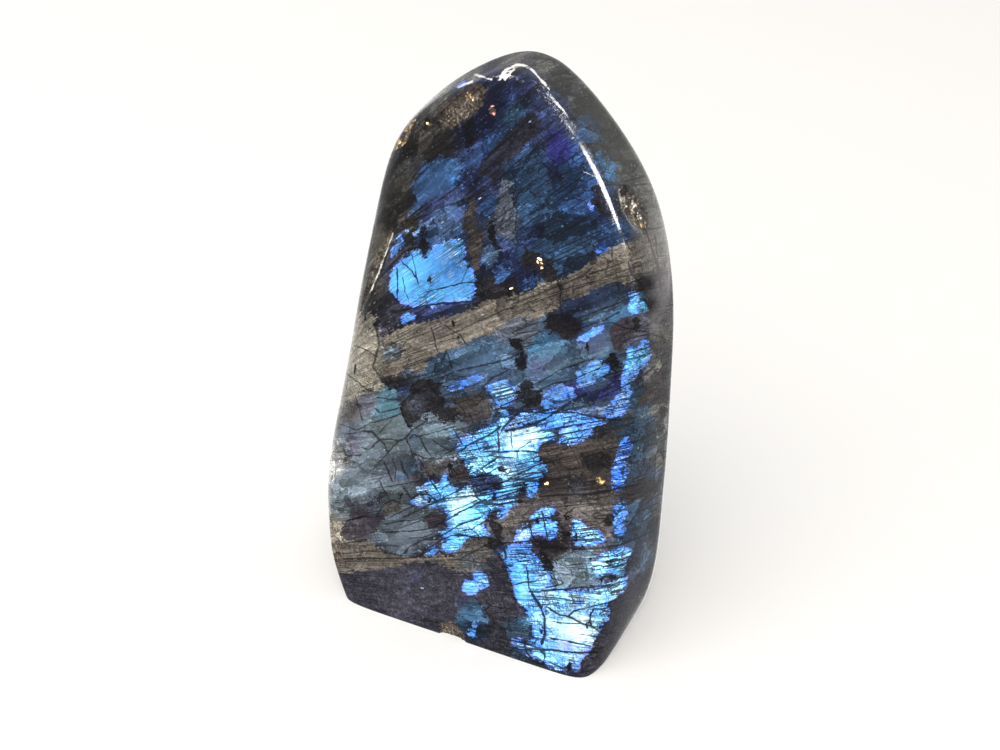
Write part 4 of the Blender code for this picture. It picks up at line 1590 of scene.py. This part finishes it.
def paint(mesh, points):
    """Gives each vertex what the material reads: the layers' edges and tones, cracks and lamellae."""
    view = np.array(camera_axes()[0]) - points
    view /= np.linalg.norm(view, axis=1)[:, None]
    facing = (surface_normals(points) * view).sum(axis=1)
    shown = smooth((facing - TURN_START) / TURN_WIDTH)
    photo, unrolled = photo_places(points), unrolled_places(points)

    def blended(front, back):
        share = shown if front.ndim == 1 else shown[:, None]
        return back + share * (front - back)

    layers = (
        ("panel", FRONT_PANELS, BACK_PANELS, FLASH_GLOWS),
        ("flash", FRONT_FLASH, BACK_FLASH, FLASH_GLOWS),
        ("matrix", FRONT_MATRIX, BACK_MATRIX, ROCK_GLOWS),
        ("dark", FRONT_DARK, BACK_DARK, ROCK_GLOWS),
        ("gold", FRONT_GOLD, BACK_GOLD, {}),
    )
    for name, front_outlines, back_outlines, glows in layers:
        front_edge, front_tone = layer_fields(photo, front_outlines, MM_PER_PIXEL)
        back_edge, back_tone = layer_fields(unrolled, back_outlines, 1.0)
        front_tone = add_glows(front_tone, photo, glows)
        store(mesh, f"{name}_edge", blended(front_edge, back_edge))
        store(mesh, f"{name}_tone", blended(front_tone, back_tone), "FLOAT_COLOR")
    ground = blended(ground_tone(photo, FRONT_GROUND), ground_tone(unrolled, BACK_GROUND))
    store(mesh, "ground_tone", ground, "FLOAT_COLOR")
    store(mesh, "lamella", lamella_places(points), "FLOAT_VECTOR")
    store(mesh, "calm", soft_spots(photo, FRONT_CALM) * shown)
    store(mesh, "dull", soft_spots(photo, FRONT_DULL) * shown)

    cracks = crack_fields(photo, FRONT_CRACKS, CRACK_CHANNELS)
    fields = {f"crack_{channel}": field for channel, field in enumerate(cracks)}
    fields["scratch_and_highlight"] = crack_fields(photo, FRONT_SCRATCHES_AND_HIGHLIGHTS, 1)[0]
    for name, field in fields.items():
        field[:, 1] = np.where(shown > 0.5, field[:, 1], EDGE_LIMIT)
        store(mesh, name, field, "FLOAT_VECTOR")


def linked(name, data):
    """A new object with this data, in the scene."""
    made = bpy.data.objects.new(name, data)
    bpy.context.scene.collection.objects.link(made)
    return made


def stone_piece(material):
    """The stone's fine surface: the block pulled onto the ground faces, its chips and its paint."""
    bm = block_mesh()
    points = pulled_onto_stone(np.array([vert.co for vert in bm.verts]))
    depth, chipped = np.zeros(len(points)), np.zeros(len(points))
    for chip in CHIPS:
        found, inside = chip_depth(points, chip)
        depth = np.maximum(depth, found)
        chipped = np.maximum(chipped, inside)
    carved = points - surface_normals(points) * depth[:, None]
    carved[:, 2] = np.maximum(carved[:, 2], 0)
    for vert, place in zip(bm.verts, carved):
        vert.co = place
    rim = [edge for edge in bm.edges if edge.is_boundary]
    bmesh.ops.contextual_create(bm, geom=rim)
    mesh = bpy.data.meshes.new("stone_surface")
    bm.to_mesh(mesh)
    bm.free()
    paint(mesh, points)
    store(mesh, "chipped", chipped)
    middle = (carved.max(axis=0) + carved.min(axis=0)) / 2
    shift = Vector((-middle[0], -middle[1], 0))
    mesh.transform(Matrix.Translation(shift))
    mesh.transform(Matrix.Scale(MM, 4))
    mesh.shade_smooth()
    mesh.materials.append(material)
    return linked("stone_surface", mesh), shift


def floor_piece():
    """A wide, plain, pale floor, a little warm."""
    bpy.ops.mesh.primitive_plane_add(size=FLOOR_SIZE)
    floor = bpy.context.object
    floor.name = "floor"
    material = bpy.data.materials.new("pale_floor")
    material.use_nodes = True
    shader = material.node_tree.nodes["Principled BSDF"]
    for name, value in (
        ("Base Color", FLOOR_TONE),
        ("Roughness", FLOOR_ROUGHNESS),
        ("Specular IOR Level", 0),
        ("Emission Color", FLOOR_GLOW_TONE),
        ("Emission Strength", FLOOR_GLOW),
    ):
        shader.inputs[name].default_value = value
    floor.data.materials.append(material)
    floor.visible_glossy = False
    return floor


def soft_world():
    """Soft light that is dim before the stone and below the floor, bright over it and white behind it."""
    world = bpy.data.worlds.new("studio")
    world.use_nodes = True
    w = Wiring(world)
    background = world.node_tree.nodes["Background"]
    direction = w.node("ShaderNodeTexCoord").outputs["Generated"]
    behind, height = w.split(direction, 1), w.split(direction, 2)
    sky = w.mix(w.ramp(behind, *SKY_TURN), FRONT_TONE, BACK_TONE)
    light = w.mix(w.ramp(height, *HORIZON), BELOW_TONE, sky)
    for toward, edge, lowest, tone in BACKDROPS:
        facing = w.node("ShaderNodeVectorMath", operation="DOT_PRODUCT")
        w.feed(facing.inputs[0], direction)
        w.feed(facing.inputs[1], outward(*toward))
        share = w.times(w.ramp(facing.outputs["Value"], *edge), w.ramp(height, *lowest))
        light = w.mix(share, light, tone)
    w.feed(background.inputs["Color"], light)
    background.inputs["Strength"].default_value = WORLD_LIGHT
    bpy.context.scene.world = world


def fill_light():
    """A large softbox that lights the stone and the floor and leaves no reflection."""
    data = bpy.data.lights.new("fill", "AREA")
    data.shape = "SQUARE"
    data.size = FILL_SIZE
    data.energy = FILL_ENERGY
    light = linked("fill", data)
    direction = outward(*FILL_DIRECTION)
    turn = direction.to_track_quat("Z", "Y").to_matrix().to_4x4()
    light.matrix_world = Matrix.Translation(direction * FILL_DISTANCE) @ turn
    light.visible_glossy = False
    light.visible_camera = False


def strip_light(name, start, end, width):
    """A softbox seen only in the gloss. start and end are the directions of its ends."""
    target = Vector((0, 0, STRIP_TARGET))
    ends = [target + outward(*direction) * LIGHT_DISTANCE for direction in (start, end)]
    middle = (ends[0] + ends[1]) / 2
    back = (middle - target).normalized()
    along = (ends[1] - ends[0]).normalized()
    data = bpy.data.lights.new(name, "AREA")
    data.shape = "RECTANGLE"
    data.size, data.size_y = (ends[1] - ends[0]).length, width
    data.energy = STRIP_RADIANCE * math.pi * data.size * data.size_y
    light = linked(name, data)
    turn = Matrix((along, back.cross(along), back)).transposed()
    light.matrix_world = Matrix.Translation(middle) @ turn.to_4x4()
    light.visible_diffuse = False
    light.visible_camera = False


def studio_camera(shift):
    """The photograph's camera. shift is how far the stone was moved to its centre, in mm."""
    eye, right, up, back = camera_axes()
    data = bpy.data.cameras.new("camera")
    data.lens, data.sensor_width = LENS, SENSOR
    data.clip_start = CLIP_START
    camera = linked("camera", data)
    turn = Matrix((right, up, back)).transposed()
    camera.matrix_world = Matrix.Translation((eye + shift) * MM) @ turn.to_4x4()
    bpy.context.scene.camera = camera


stone, centred_by = stone_piece(labradorite_material())
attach(stone, "root")
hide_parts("stone")
floor = floor_piece()
soft_world()
fill_light()
for strip in STRIPS:
    strip_light(*strip)
studio_camera(centred_by)
bpy.context.scene.view_settings.view_transform = "Standard"
